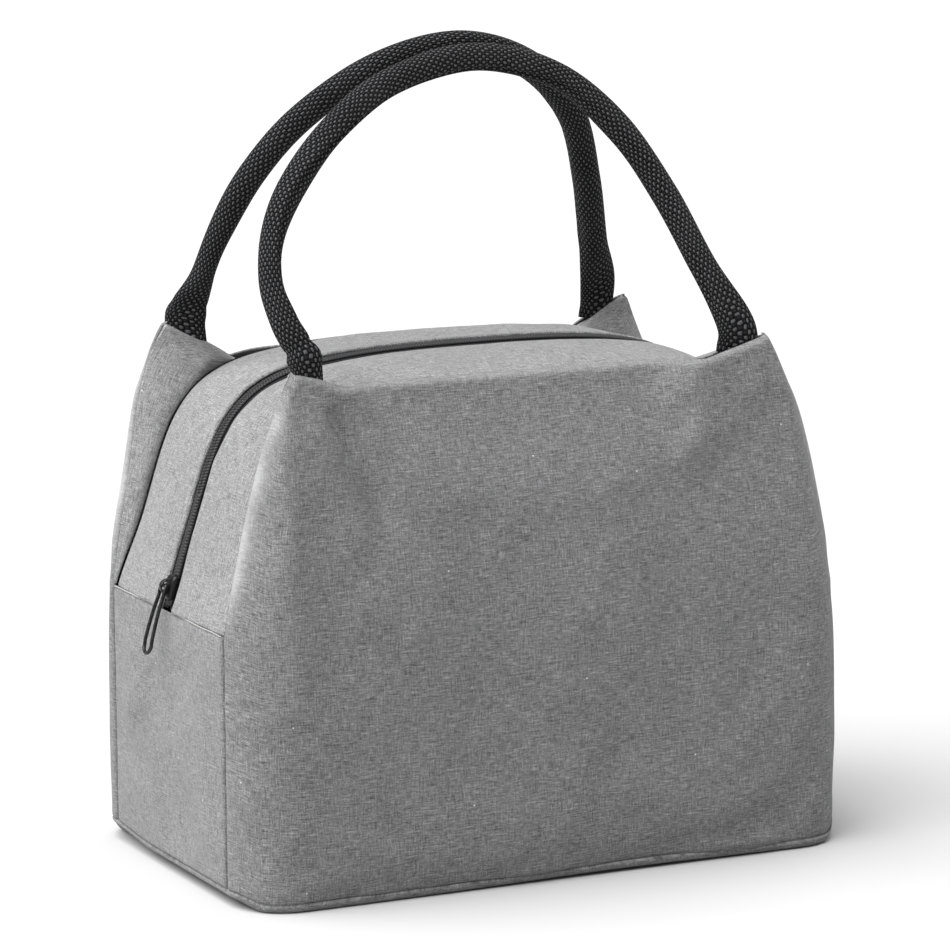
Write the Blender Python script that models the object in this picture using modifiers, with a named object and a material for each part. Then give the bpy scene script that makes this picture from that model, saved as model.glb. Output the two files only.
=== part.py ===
"""Soft insulated lunch bag: an arched zip mouth between two eared panels, and two tube handles.

Metres, +Z up. X runs along the wide front, and the front face looks towards -Y. The origin is on
the floor, under the middle of the bag. The wall is a fabric skin, a foam pad and a foil lining.
Above the side seams the front and rear panels tip outwards as the two halves of the mouth, and
the handles turn where they leave the ears.
"""

import math

import bmesh
import bpy
from mathutils import Vector

# Body
HALF_WIDTH = 0.140
HALF_DEPTH = 0.086
CORNER_RADIUS = 0.025
BASE_FILLET = 0.005
BASE_RIM_Z = 0.0062
SIDE_SEAM_Y = 0.060
SIDE_SEAM_Z = 0.112

# Ears: the upper corners of the front and rear panels, where the handles are sewn in
EAR_TOP_Z = 0.2195
EAR_FACE_Y = 0.067
EAR_FOLD_Y = 0.063
EAR_EDGE_RADIUS = 0.005
EAR_TAPER = 0.022
EAR_TUCK = 0.009
PANEL_SINK = 0.0075
PANEL_TOP_Z = 0.2117
EAR_START_X = 0.068
EAR_SPAN_X = 0.041

# Mouth: the zip follows an arch in XZ, straight at each end and then one Bezier to the crown
ARCH_FOOT = (0.1395, 0.113)
ARCH_KNEE = (0.1245, 0.160)
ARCH_CROWN_Z = 0.2155
ARCH_KNEE_PULL = 0.050
ARCH_CROWN_PULL = 0.095
GUSSET_HALF_WIDTH = 0.0597
GUSSET_SAG = 0.004
ZIP_SLOT_HALF = 0.0055

# Wall layers, from the outside in
SKIN = 0.0010
GAP = 0.0003
FOAM = 0.0035
LINING = 0.0006
FOAM_INSET = SKIN + GAP
LINING_INSET = FOAM_INSET + FOAM + GAP
WALL_FOAM_LOW = LINING_INSET + 0.0025
BOARD_INSET, BOARD_Z = 0.0045, (0.0013, 0.0033)
BASE_FOAM_INSET, BASE_FOAM_Z = 0.0040, (0.0036, 0.0071)
LINING_FLOOR_Z = BASE_FOAM_Z[1] + GAP

# Layers of the flaps: each pad is a little thinner than the wall's, to stay clear of its skin
PAD_ARCH_INSET = 0.008
PAD_SLACK = 0.0016
PAD_ROWS = (0.1126, 0.145, 0.170, 0.188, 0.200, 0.206)
PAD_HALF_WIDTH = 0.114
FLAP_LINING_HALF_WIDTH = 0.131
FACING = 0.0008
FACING_Y = (0.0612, 0.0622)
FACING_MARGIN = 0.0018
FACING_TOP_X = 0.080
FACING_SEAM_SHARES = (0.12, 0.50, 0.90, 1.15, 1.30, 1.45)
FACING_EDGE_Z = (0.1186, 0.138, 0.158, 0.178, 0.193, 0.206, 0.2192)

# Shares of the arch: the fixed foot ends just below the fold, and the flaps' layers start above it
FOOT_SHARES = (0.0, 0.35, 0.7, 0.985)
FOOT_ZIP_SHARE = 0.02
PAD_FOOT_SHARE = 0.08
FLAP_SHARE = 1.015

# Zip
TAPE_INSET = 0.0022
TAPE = 0.0005
TAPE_HALF_WIDTH = 0.013
COIL_HALF_WIDTH = 0.0029
COIL_PROUD = 0.0010
COIL_DEPTH = 0.0016
LID_FOAM_INSET = 0.0030
LID_FOAM = 0.0030
LID_LINING_INSET = 0.0063
SLIDER_START = 0.009
SLIDER_LENGTH = 0.010
SLIDER_WIDTH = 0.0086
SLIDER_TOP = 0.0026
SLIDER_BOTTOM = 0.0019
CHANNEL_WIDTH = 0.0066
CHANNEL_TOP = 0.0014
CHANNEL_BOTTOM = 0.0010
BAIL_LENGTH = 0.0060
BAIL_HEIGHT = 0.0034
BAIL_WIDTH = 0.0020
BAIL_HOLE = (0.0030, 0.0024)
PULL_LENGTH = 0.030
PULL_WIDTH = 0.009
PULL_WIRE = 0.0008
BAR_HALF = 0.0028

# Handles
HINGE_Y = 0.0640
HINGE_Z = 0.2213
HANDLE_TUBE_R = 0.00625
HANDLE_FLAT = (0.0095, 0.0022)
HANDLE_WALL = 0.0012
CORE_R = 0.0046
FLAT_LENGTH = 0.030
END_X = 0.098
END_HALF_WIDTH = 0.0082
END_THICKNESS = 0.0022
END_BOTTOM_Z = 0.206
END_TOP_Z = 0.2233
HANDLE_SIDES = 10
HANDLE_RINGS = 24
CORE_SETBACK = 0.036
# Each handle's centreline as (x, z); it leans in from its hinge to the crown's distance from y = 0
FRONT_ROUTE = [
    (-0.101, 0.2243), (-0.107, 0.238), (-0.110, 0.254), (-0.105, 0.272), (-0.092, 0.291),
    (-0.070, 0.311), (-0.040, 0.328), (0.000, 0.336), (0.036, 0.327), (0.060, 0.305),
    (0.075, 0.278), (0.086, 0.250), (0.096, 0.2243),
]
FRONT_CROWN_Y = 0.008
REAR_ROUTE = [
    (-0.102, 0.2243), (-0.101, 0.240), (-0.097, 0.262), (-0.086, 0.288), (-0.066, 0.311),
    (-0.036, 0.331), (0.000, 0.340), (0.034, 0.330), (0.059, 0.307), (0.075, 0.276),
    (0.087, 0.247), (0.096, 0.2243),
]
REAR_CROWN_Y = 0.0075

CORNER_STEPS = 4
CLEAR = 0.0006

COLOURS = {
    "melange_fabric": ((0.22, 0.22, 0.22), 0.92, 0.0),
    "webbing": ((0.022, 0.022, 0.024), 0.75, 0.0),
    "zip_tape": ((0.035, 0.035, 0.037), 0.85, 0.0),
    "zip_coil": ((0.02, 0.02, 0.02), 0.45, 0.0),
    "zip_metal": ((0.03, 0.03, 0.03), 0.35, 0.6),
    "foam": ((0.85, 0.85, 0.83), 0.9, 0.0),
    "foil_lining": ((0.75, 0.76, 0.78), 0.3, 0.8),
    "base_board": ((0.05, 0.05, 0.05), 0.6, 0.0),
    "rope_core": ((0.8, 0.78, 0.72), 0.9, 0.0),
}

PARTS = bpy.data.collections.new("lunch_bag")
CUTTERS = bpy.data.collections.new("cutters")


def clear_scene():
    for obj in list(bpy.data.objects):
        bpy.data.objects.remove(obj, do_unlink=True)
    for collection in (PARTS, CUTTERS):
        bpy.context.scene.collection.children.link(collection)
    CUTTERS.hide_render = True


def material(name):
    found = bpy.data.materials.get(name)
    if found:
        return found
    colour, roughness, metallic = COLOURS[name]
    found = bpy.data.materials.new(name)
    found.use_nodes = True
    shader = found.node_tree.nodes["Principled BSDF"]
    shader.inputs["Base Color"].default_value = (*colour, 1.0)
    shader.inputs["Roughness"].default_value = roughness
    shader.inputs["Metallic"].default_value = metallic
    return found


# ---------------------------------------------------------------- building blocks


def add_mesh(name, points, faces, slot):
    """A mesh object from points and faces, in the collection of parts."""
    mesh = bpy.data.meshes.new(name)
    mesh.from_pydata([tuple(p) for p in points], [], faces)
    mesh.materials.append(material(slot))
    obj = bpy.data.objects.new(name, mesh)
    PARTS.objects.link(obj)
    return obj


def turn_outwards(obj):
    work = bmesh.new()
    work.from_mesh(obj.data)
    bmesh.ops.recalc_face_normals(work, faces=work.faces)
    work.to_mesh(obj.data)
    work.free()


def sheet(name, rows, thickness, slot, inward):
    """An open grid of points, thickened by Solidify towards inward, a direction at its middle."""
    count, width = len(rows), len(rows[0])
    faces = [
        (r * width + c, r * width + c + 1, (r + 1) * width + c + 1, (r + 1) * width + c)
        for r in range(count - 1)
        for c in range(width - 1)
    ]
    obj = add_mesh(name, [p for row in rows for p in row], faces, slot)
    middle = obj.data.polygons[len(faces) // 2]
    if middle.normal.dot(Vector(inward)) > 0:
        obj.data.flip_normals()
    solid = obj.modifiers.new("thickness", "SOLIDIFY")
    solid.thickness = thickness
    solid.offset = -1.0
    obj.data.shade_smooth()
    return obj


def box(name, low, high, slot):
    """A box between two corners, from a cube primitive."""
    work = bmesh.new()
    bmesh.ops.create_cube(work, size=1.0)
    size = Vector(high) - Vector(low)
    bmesh.ops.scale(work, vec=size, verts=work.verts)
    mesh = bpy.data.meshes.new(name)
    work.to_mesh(mesh)
    work.free()
    mesh.materials.append(material(slot))
    obj = bpy.data.objects.new(name, mesh)
    PARTS.objects.link(obj)
    obj.location = (Vector(low) + Vector(high)) / 2
    return obj


def smooth(t):
    t = min(1.0, max(0.0, t))
    return t * t * (3 - 2 * t)


def spread(low, high, steps):
    return [low + (high - low) * i / steps for i in range(steps + 1)]


def mix(a, b, t):
    return a + (b - a) * t


# ---------------------------------------------------------------- the bag's surfaces


def rise(z):
    """0 at the side seam and 1 at the ears' tops."""
    return min(1.0, max(0.0, (z - SIDE_SEAM_Z) / (EAR_TOP_Z - SIDE_SEAM_Z)))


def edge_x(z):
    """Half the width of the front and rear panels."""
    return HALF_WIDTH - EAR_TAPER * rise(z) - EAR_TUCK * rise(z) ** 4


def fold_y(z):
    """How far from the middle the panel's wrapped edge ends."""
    return mix(SIDE_SEAM_Y + GAP, EAR_FOLD_Y, rise(z))


def panel_y(x, z, inset=0.0):
    """The panel's outer face at (x, z), as a distance from the bag's middle plane."""
    radius = mix(CORNER_RADIUS, EAR_EDGE_RADIUS, rise(z))
    over = max(0.0, (abs(x) - (edge_x(z) - inset - radius)) / radius)
    wrap = math.sqrt(max(0.0, 1.0 - over * over))
    face = mix(HALF_DEPTH, EAR_FACE_Y, rise(z) ** 1.2) - inset
    sunk = smooth((z - 0.150) / (PANEL_TOP_Z - 0.150)) * (1 - smooth((abs(x) - 0.060) / 0.040))
    return mix(fold_y(z), face, wrap) - PANEL_SINK * sunk


def panel_top(x):
    """Height of the panel's top edge: level over the mouth, and up to the ears' outer corners."""
    return PANEL_TOP_Z + 0.0078 * max(0.0, (abs(x) - EAR_START_X) / EAR_SPAN_X) ** 1.2


def arch_point(share):
    """A point (x, z) of the right half of the zip's arch, and its outward normal.

    0 to 1 runs up the straight foot, and 1 to 2 round the shoulder to the crown."""
    foot, knee = Vector(ARCH_FOOT), Vector(ARCH_KNEE)
    along = (knee - foot).normalized()
    if share <= 1.0:
        point, heading = foot.lerp(knee, share), along
    else:
        t = share - 1.0
        a, b = knee, knee + along * ARCH_KNEE_PULL
        c, d = Vector((ARCH_CROWN_PULL, ARCH_CROWN_Z)), Vector((0.0, ARCH_CROWN_Z))
        point = a * (1 - t) ** 3 + b * 3 * t * (1 - t) ** 2 + c * 3 * t * t * (1 - t) + d * t**3
        heading = (b - a) * (1 - t) ** 2 + (c - b) * 2 * t * (1 - t) + (d - c) * t * t
        heading.normalize()
    return point, Vector((heading.y, -heading.x))


def gusset_point(side, share, y, inset=0.0):
    """A point of the zip gusset: side -1 is left, and the surface sags towards its side seams."""
    point, normal = arch_point(share)
    sag = mix(0.0015, GUSSET_SAG, smooth(share / 0.7)) * (y / GUSSET_HALF_WIDTH) ** 2
    place = point - normal * (sag + inset)
    return Vector((side * place.x, y, place.y))


def over_arch(low, steps):
    """(side, share) from the left, over the crown, down to the right."""
    shares = spread(low, 2.0, steps)
    return [(-1, s) for s in shares] + [(1, s) for s in reversed(shares[:-1])]


def lower_section(inset=0.0):
    """The front panel's plan below the seam: side wrap, corner, face, corner, side wrap."""
    radius = CORNER_RADIUS - inset
    centre = Vector((HALF_WIDTH - CORNER_RADIUS, HALF_DEPTH - CORNER_RADIUS))
    half = [(HALF_WIDTH - inset, SIDE_SEAM_Y + GAP)]
    for i in range(CORNER_STEPS + 1):
        angle = math.radians(90 * i / CORNER_STEPS)
        half.append((centre.x + radius * math.cos(angle), centre.y + radius * math.sin(angle)))
    return [(-x, -y) for x, y in half] + [(x, -y) for x, y in reversed(half)]


def plan_ring(inset, z):
    """The closed rounded rectangle of the bag's plan, inset from the outer face."""
    radius = CORNER_RADIUS - inset
    points = []
    for quarter, (sx, sy) in enumerate(((1, 1), (-1, 1), (-1, -1), (1, -1))):
        cx, cy = sx * (HALF_WIDTH - CORNER_RADIUS), sy * (HALF_DEPTH - CORNER_RADIUS)
        for i in range(CORNER_STEPS + 1):
            angle = math.radians(90 * (quarter + i / CORNER_STEPS))
            points.append(Vector((cx + radius * math.cos(angle), cy + radius * math.sin(angle), z)))
    return points


# ---------------------------------------------------------------- bag body


def tub(name, rings, thickness, slot):
    """An open tub: a bottom face, walls through the rings, and Solidify inwards."""
    width = len(rings[0])
    faces = [tuple(reversed(range(width)))]
    for r in range(len(rings) - 1):
        for c in range(width):
            d = (c + 1) % width
            faces.append((r * width + c, r * width + d, (r + 1) * width + d, (r + 1) * width + c))
    obj = add_mesh(name, [p for ring in rings for p in ring], faces, slot)
    solid = obj.modifiers.new("thickness", "SOLIDIFY")
    solid.thickness = thickness
    solid.offset = -1.0
    return obj


def plate(name, inset, low, high, slot):
    """A flat board with the bag's plan, as a filled outline curve with a depth."""
    outline = bpy.data.curves.new(name, "CURVE")
    outline.dimensions = "2D"
    outline.fill_mode = "BOTH"
    outline.extrude = (high - low) / 2
    ring = plan_ring(inset, 0.0)
    spline = outline.splines.new("POLY")
    spline.points.add(len(ring) - 1)
    for point, place in zip(spline.points, ring):
        point.co = (place.x, place.y, 0.0, 1.0)
    spline.use_cyclic_u = True
    outline.materials.append(material(slot))
    obj = bpy.data.objects.new(name, outline)
    obj.location.z = (low + high) / 2
    PARTS.objects.link(obj)


def make_base():
    rings = []
    for i in range(CORNER_STEPS + 1):
        angle = math.radians(90 * i / CORNER_STEPS)
        inset = BASE_FILLET * (1 - math.sin(angle))
        rings.append(plan_ring(inset, BASE_FILLET * (1 - math.cos(angle))))
    rings.append(plan_ring(0.0, BASE_RIM_Z))
    tub("base_panel", rings, SKIN, "melange_fabric")
    plate("base_board", BOARD_INSET, *BOARD_Z, "base_board")
    plate("base_foam", BASE_FOAM_INSET, *BASE_FOAM_Z, "foam")
    lining = [plan_ring(LINING_INSET, z) for z in (LINING_FLOOR_Z, SIDE_SEAM_Z - GAP)]
    tub("lining_lower", lining, LINING, "foil_lining")


def make_lower_walls():
    low, high = BASE_RIM_Z + GAP, SIDE_SEAM_Z - GAP
    for name, turn in (("front", 1), ("rear", -1)):
        rows = [[Vector((x, turn * y, z)) for x, y in lower_section()] for z in (low, high)]
        sheet(f"{name}_panel_lower", rows, SKIN, "melange_fabric", (0, turn, 0))
        inner, outer = HALF_DEPTH - FOAM_INSET - FOAM, HALF_DEPTH - FOAM_INSET
        near, far = sorted((-turn * inner, -turn * outer))
        reach = HALF_WIDTH - CORNER_RADIUS - CLEAR
        box(f"foam_{name}_lower", (-reach, near, WALL_FOAM_LOW), (reach, far, high), "foam")
    for name, side in (("left", -1), ("right", 1)):
        near, far = sorted((side * HALF_WIDTH, side * (HALF_WIDTH - SKIN)))
        reach = SIDE_SEAM_Y - GAP
        box(f"side_panel_{name}", (near, -reach, low), (far, reach, high), "melange_fabric")
        outer = HALF_WIDTH - FOAM_INSET
        near, far = sorted((side * outer, side * (outer - FOAM)))
        box(f"foam_{name}", (near, -reach, WALL_FOAM_LOW), (far, reach, high), "foam")


# ---------------------------------------------------------------- mouth


def arch_sheet(name, route, spans, inset, thickness, slot):
    """A strip of the arch between y values, at a depth below the gusset's outer face."""
    rows = [[gusset_point(side, share, y, inset) for y in spans] for side, share in route]
    side, share = route[len(route) // 2]
    _, normal = arch_point(share)
    return sheet(name, rows, thickness, slot, (-side * normal.x, 0.0, -normal.y))


def make_fixed_mouth_ends():
    """The feet of the arch stay with the side panels: gusset ends, closed zip, foam and lining."""
    for name, side in (("left", -1), ("right", 1)):
        route = [(side, share) for share in FOOT_SHARES]
        for half, turn in (("front", -1), ("rear", 1)):
            spans = [turn * y for y in (ZIP_SLOT_HALF, 0.022, 0.040, GUSSET_HALF_WIDTH)]
            arch_sheet(f"gusset_end_{name}_{half}", route, spans, 0.0, SKIN, "melange_fabric")
        ends = [(side, FOOT_ZIP_SHARE), (side, FOOT_SHARES[-1])]
        coil = [-COIL_HALF_WIDTH, COIL_HALF_WIDTH]
        arch_sheet(f"zip_chain_{name}", ends, coil, -COIL_PROUD, COIL_DEPTH, "zip_coil")
        tape = [-TAPE_HALF_WIDTH, TAPE_HALF_WIDTH]
        arch_sheet(f"zip_tape_{name}", ends, tape, TAPE_INSET, TAPE, "zip_tape")
        wide = spread(-0.055, 0.055, 4)
        route[0] = (side, PAD_FOOT_SHARE)
        arch_sheet(f"gusset_foam_{name}", route, wide, LID_FOAM_INSET, LID_FOAM, "foam")
        arch_sheet(f"gusset_lining_{name}", route, wide, LID_LINING_INSET, LINING, "foil_lining")


def arch_half(z, inset):
    """Half the arch's width at a height, measured this far inside it."""
    low, high = 0.0, 2.0
    for _ in range(30):
        share = (low + high) / 2
        point, normal = arch_point(share)
        low, high = (share, high) if point.y - normal.y * inset < z else (low, share)
    return point.x - normal.x * inset


def make_upper_panel(name, turn):
    """The panel's fabric above the side seam, with its wrapped edges and the ears."""
    bottom = SIDE_SEAM_Z + GAP
    grid = []
    for share in spread(0.0, 1.0, 7):
        level = mix(bottom, EAR_TOP_Z, share)
        half = edge_x(level)
        radius = mix(CORNER_RADIUS, EAR_EDGE_RADIUS, rise(level))
        wrap = [half - radius * (1 - math.cos(math.radians(a))) for a in (0, 25, 50, 70, 90)]
        across = wrap + spread(wrap[-1], -wrap[-1], 16)[1:-1] + [-x for x in reversed(wrap)]
        line = []
        for x in across:
            z = mix(bottom, panel_top(x / half * edge_x(EAR_TOP_Z)), share)
            line.append(Vector((x, turn * panel_y(x, z), z)))
        grid.append(line)
    sheet(f"{name}_panel_upper", grid, SKIN, "melange_fabric", (0, -turn, 0))


def make_upper_pad(name, turn, widest, inset, thickness, slot):
    """A layer behind the upper panel, cut to the arch's shape."""
    grid = []
    for z in PAD_ROWS:
        half = min(widest, arch_half(z, PAD_ARCH_INSET))
        grid.append([Vector((x, turn * panel_y(x, z, inset), z)) for x in spread(-half, half, 14)])
    sheet(name, grid, thickness, slot, (0, -turn, 0))


def make_ear_facings(name, turn):
    """The inner layer of each ear, between the gusset's seam and the panel's folded edge."""
    for label, side in (("left", -1), ("right", 1)):
        seams = [gusset_point(1, s, GUSSET_HALF_WIDTH, -CLEAR) for s in FACING_SEAM_SHARES]
        seams.append(Vector((FACING_TOP_X, 0.0, panel_top(FACING_TOP_X) - GAP)))
        grid = []
        for seam, z in zip(seams, FACING_EDGE_Z):
            line = []
            for u in (0.0, 0.5, 1.0):
                place = (mix(seam.x, edge_x(z) - FACING_MARGIN, u), mix(seam.z, z, u))
                y = mix(*FACING_Y, rise(place[1]))
                line.append(Vector((side * place[0], turn * y, place[1])))
            grid.append(line)
        sheet(f"ear_facing_{name}_{label}", grid, FACING, "melange_fabric", (0, -turn, 0))


def make_flap(name, turn):
    """One half of the mouth: turn -1 is the front, which faces -Y."""
    make_upper_panel(name, turn)
    inset, thickness = FOAM_INSET + PAD_SLACK, FOAM - PAD_SLACK
    make_upper_pad(f"foam_{name}_upper", turn, PAD_HALF_WIDTH, inset, thickness, "foam")
    inset = LINING_INSET + PAD_SLACK
    widest = FLAP_LINING_HALF_WIDTH
    make_upper_pad(f"lining_{name}_upper", turn, widest, inset, LINING, "foil_lining")
    make_ear_facings(name, turn)
    route = over_arch(FLAP_SHARE, 7)
    spans = [turn * y for y in (ZIP_SLOT_HALF, 0.024, 0.042, GUSSET_HALF_WIDTH)]
    arch_sheet(f"gusset_{name}", route, spans, 0.0, SKIN, "melange_fabric")
    coil = [turn * y for y in (0.00015, COIL_HALF_WIDTH)]
    arch_sheet(f"zip_coil_{name}", route, coil, -COIL_PROUD, COIL_DEPTH, "zip_coil")
    tape = [turn * y for y in (0.0010, TAPE_HALF_WIDTH)]
    arch_sheet(f"zip_tape_{name}", route, tape, TAPE_INSET, TAPE, "zip_tape")
    inner = [turn * y for y in (0.0010, 0.028, 0.054)]
    arch_sheet(f"gusset_foam_{name}", route, inner, LID_FOAM_INSET, LID_FOAM, "foam")
    arch_sheet(f"gusset_lining_{name}", route, inner, LID_LINING_INSET, LINING, "foil_lining")


# ---------------------------------------------------------------- zip slider and pull


def cut_or_join(obj, tool, operation):
    step = obj.modifiers.new(operation.lower(), "BOOLEAN")
    step.operation = operation
    step.object = tool
    step.solver = "EXACT"
    PARTS.objects.unlink(tool)
    CUTTERS.objects.link(tool)
    tool.hide_render = True
    tool.display_type = "WIRE"


def make_slider():
    """A sleeve round the closed zip with a bail on top, and the wire pull hung in the bail."""
    foot, normal = arch_point(0.0)
    knee, _ = arch_point(1.0)
    along = (knee - foot).normalized()
    start = foot + along * SLIDER_START
    carrier = bpy.data.objects.new("slider_axis", None)
    PARTS.objects.link(carrier)
    carrier.location = (-start.x, 0.0, start.y)
    carrier.rotation_euler.y = math.atan2(-along.y, -along.x)

    half, bail = SLIDER_LENGTH / 2, BAIL_LENGTH / 2
    body = box(
        "zip_slider", (-half, -SLIDER_WIDTH / 2, -SLIDER_BOTTOM),
        (half, SLIDER_WIDTH / 2, SLIDER_TOP), "zip_metal",
    )
    channel = box(
        "channel", (-2 * half, -CHANNEL_WIDTH / 2, -CHANNEL_BOTTOM),
        (2 * half, CHANNEL_WIDTH / 2, CHANNEL_TOP), "zip_metal",
    )
    bridge = box(
        "bridge", (-bail, -BAIL_WIDTH / 2, SLIDER_TOP - GAP),
        (bail, BAIL_WIDTH / 2, SLIDER_TOP + BAIL_HEIGHT), "zip_metal",
    )
    length, height = BAIL_HOLE
    eye = box(
        "eye", (-length / 2, -SLIDER_WIDTH, SLIDER_TOP),
        (length / 2, SLIDER_WIDTH, SLIDER_TOP + height), "zip_metal",
    )
    cut_or_join(body, bridge, "UNION")
    body.modifiers["union"].name = "bridge"
    cut_or_join(body, channel, "DIFFERENCE")
    body.modifiers["difference"].name = "channel"
    cut_or_join(body, eye, "DIFFERENCE")
    for piece in (body, channel, bridge, eye):
        piece.parent = carrier
    make_pull(carrier, SLIDER_TOP + height / 2)


def make_pull(carrier, height):
    """A closed wire loop: a bar through the bail, two sides that spread, and a round end."""
    outline = [(0.0, -BAR_HALF), (0.0, BAR_HALF)]
    end = PULL_WIDTH / 2 - PULL_WIRE
    centre = -(PULL_LENGTH - PULL_WIRE - end)
    for angle in range(0, 181, 20):
        turned = math.radians(angle)
        outline.append((centre - end * math.sin(turned), end * math.cos(turned)))
    wire = bpy.data.curves.new("zip_pull", "CURVE")
    wire.dimensions = "3D"
    wire.bevel_depth = PULL_WIRE
    wire.bevel_resolution = 2
    wire.materials.append(material("zip_metal"))
    spline = wire.splines.new("POLY")
    spline.points.add(len(outline) - 1)
    for point, (x, y) in zip(spline.points, outline):
        point.co = (x, y, 0.0, 1.0)
    spline.use_cyclic_u = True
    pull = bpy.data.objects.new("zip_pull", wire)
    PARTS.objects.link(pull)
    pull.parent = carrier
    pull.location.z = height


# ---------------------------------------------------------------- handles


def smooth_route(points, count):
    """Evenly spaced points on a Catmull-Rom curve through the given ones."""
    ends = [points[0] * 2 - points[1], *points, points[-1] * 2 - points[-2]]
    fine = []
    for a, b, c, d in zip(ends, ends[1:], ends[2:], ends[3:]):
        for t in spread(0.0, 1.0, 16)[:-1]:
            fine.append(
                (b * 2 + (c - a) * t + (a * 2 - b * 5 + c * 4 - d) * t * t
                 + (b * 3 - a - c * 3 + d) * t**3) / 2
            )
    fine.append(points[-1])
    lengths = [0.0]
    for a, b in zip(fine, fine[1:]):
        lengths.append(lengths[-1] + (b - a).length)
    found, k = [], 0
    for target in spread(0.0, lengths[-1], count - 1):
        while k < len(fine) - 2 and lengths[k + 1] < target:
            k += 1
        t = (target - lengths[k]) / max(1e-9, lengths[k + 1] - lengths[k])
        found.append(fine[k].lerp(fine[k + 1], min(1.0, t)))
    return found, lengths[-1]


def make_handle(name, turn, route, crown_y):
    """A webbing sleeve, folded round a rope core along its middle and flat at its two ends."""
    crown_z = max(z for _, z in route)
    lean = (HINGE_Y - crown_y) / (crown_z - HINGE_Z)
    points = [Vector((x, turn * (HINGE_Y - lean * (z - HINGE_Z)), z)) for x, z in route]
    places, length = smooth_route(points, HANDLE_RINGS)
    across = Vector((0.0, -turn * lean, 1.0)).cross(Vector((1.0, 0.0, 0.0))).normalized()
    rows = []
    for i, place in enumerate(places):
        before, after = places[max(0, i - 1)], places[min(len(places) - 1, i + 1)]
        tangent = (after - before).normalized()
        if i in (0, len(places) - 1):
            tangent = Vector((0.0, 0.0, 1.0 if i == 0 else -1.0))
        wide = across.cross(tangent).normalized()
        thin = tangent.cross(wide)
        from_end = length * min(i, len(places) - 1 - i) / (len(places) - 1)
        t = smooth(from_end / FLAT_LENGTH)
        half_wide, half_thin = (mix(flat, HANDLE_TUBE_R, t) for flat in HANDLE_FLAT)
        ring = []
        for k in range(HANDLE_SIDES):
            angle = math.tau * k / HANDLE_SIDES
            offset = wide * math.cos(angle) * half_wide + thin * math.sin(angle) * half_thin
            ring.append(place + offset)
        rows.append(ring)
    count = HANDLE_SIDES
    faces = [
        (r * count + c, r * count + (c + 1) % count,
         (r + 1) * count + (c + 1) % count, (r + 1) * count + c)
        for r in range(len(rows) - 1)
        for c in range(count)
    ]
    sleeve = add_mesh(f"{name}_handle", [p for row in rows for p in row], faces, "webbing")
    turn_outwards(sleeve)
    solid = sleeve.modifiers.new("thickness", "SOLIDIFY")
    solid.thickness = HANDLE_WALL
    solid.offset = -1.0
    sleeve.data.shade_smooth()

    skipped = math.ceil(CORE_SETBACK / (length / (HANDLE_RINGS - 1)))
    core = bpy.data.curves.new(f"{name}_handle_core", "CURVE")
    core.dimensions = "3D"
    core.bevel_depth = CORE_R
    core.bevel_resolution = 2
    core.use_fill_caps = True
    core.materials.append(material("rope_core"))
    kept = places[skipped:-skipped]
    spline = core.splines.new("POLY")
    spline.points.add(len(kept) - 1)
    for point, place in zip(spline.points, kept):
        point.co = (*place, 1.0)
    PARTS.objects.link(bpy.data.objects.new(core.name, core))

    near, far = sorted((turn * (HINGE_Y - END_THICKNESS / 2), turn * (HINGE_Y + END_THICKNESS / 2)))
    for label, x in (("left", -END_X), ("right", END_X)):
        low = (x - END_HALF_WIDTH, near, END_BOTTOM_Z)
        box(f"handle_end_{name}_{label}", low, (x + END_HALF_WIDTH, far, END_TOP_Z), "webbing")


def main():
    clear_scene()
    make_base()
    make_lower_walls()
    make_fixed_mouth_ends()
    make_flap("front", -1)
    make_flap("rear", 1)
    make_slider()
    make_handle("front", -1, FRONT_ROUTE, FRONT_CROWN_Y)
    make_handle("rear", 1, REAR_ROUTE, REAR_CROWN_Y)


main()
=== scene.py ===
"""Looks of the soft insulated lunch bag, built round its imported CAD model.

Metres, +Z up; the front face looks towards -Y. Each fabric piece is a fine grid whose UVs are its
cloth's own lengths in metres, so that the weave has its real scale and runs along the cloth.
A turn is -1 for the front and 1 for the rear; a side is -1 for the left and 1 for the right.
"""

import math
from contextlib import contextmanager

import bmesh
import bpy
import numpy as np
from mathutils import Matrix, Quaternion, Vector


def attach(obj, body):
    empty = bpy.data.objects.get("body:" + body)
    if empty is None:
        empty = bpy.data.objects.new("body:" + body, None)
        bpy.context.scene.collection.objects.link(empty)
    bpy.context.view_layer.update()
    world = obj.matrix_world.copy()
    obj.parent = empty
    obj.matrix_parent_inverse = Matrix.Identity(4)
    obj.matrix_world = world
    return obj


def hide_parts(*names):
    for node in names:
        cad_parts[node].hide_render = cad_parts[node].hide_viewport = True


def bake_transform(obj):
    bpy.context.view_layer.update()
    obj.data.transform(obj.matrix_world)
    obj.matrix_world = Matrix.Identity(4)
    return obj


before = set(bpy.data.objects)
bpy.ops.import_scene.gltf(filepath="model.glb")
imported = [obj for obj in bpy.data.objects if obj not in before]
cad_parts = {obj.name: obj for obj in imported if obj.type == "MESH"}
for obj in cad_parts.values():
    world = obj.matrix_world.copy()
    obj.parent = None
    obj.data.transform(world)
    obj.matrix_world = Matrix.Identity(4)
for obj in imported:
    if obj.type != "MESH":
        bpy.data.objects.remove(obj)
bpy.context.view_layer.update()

TAU = math.tau
HALF = {-1: "front", 1: "rear"}
SIDE = {-1: "left", 1: "right"}

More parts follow.
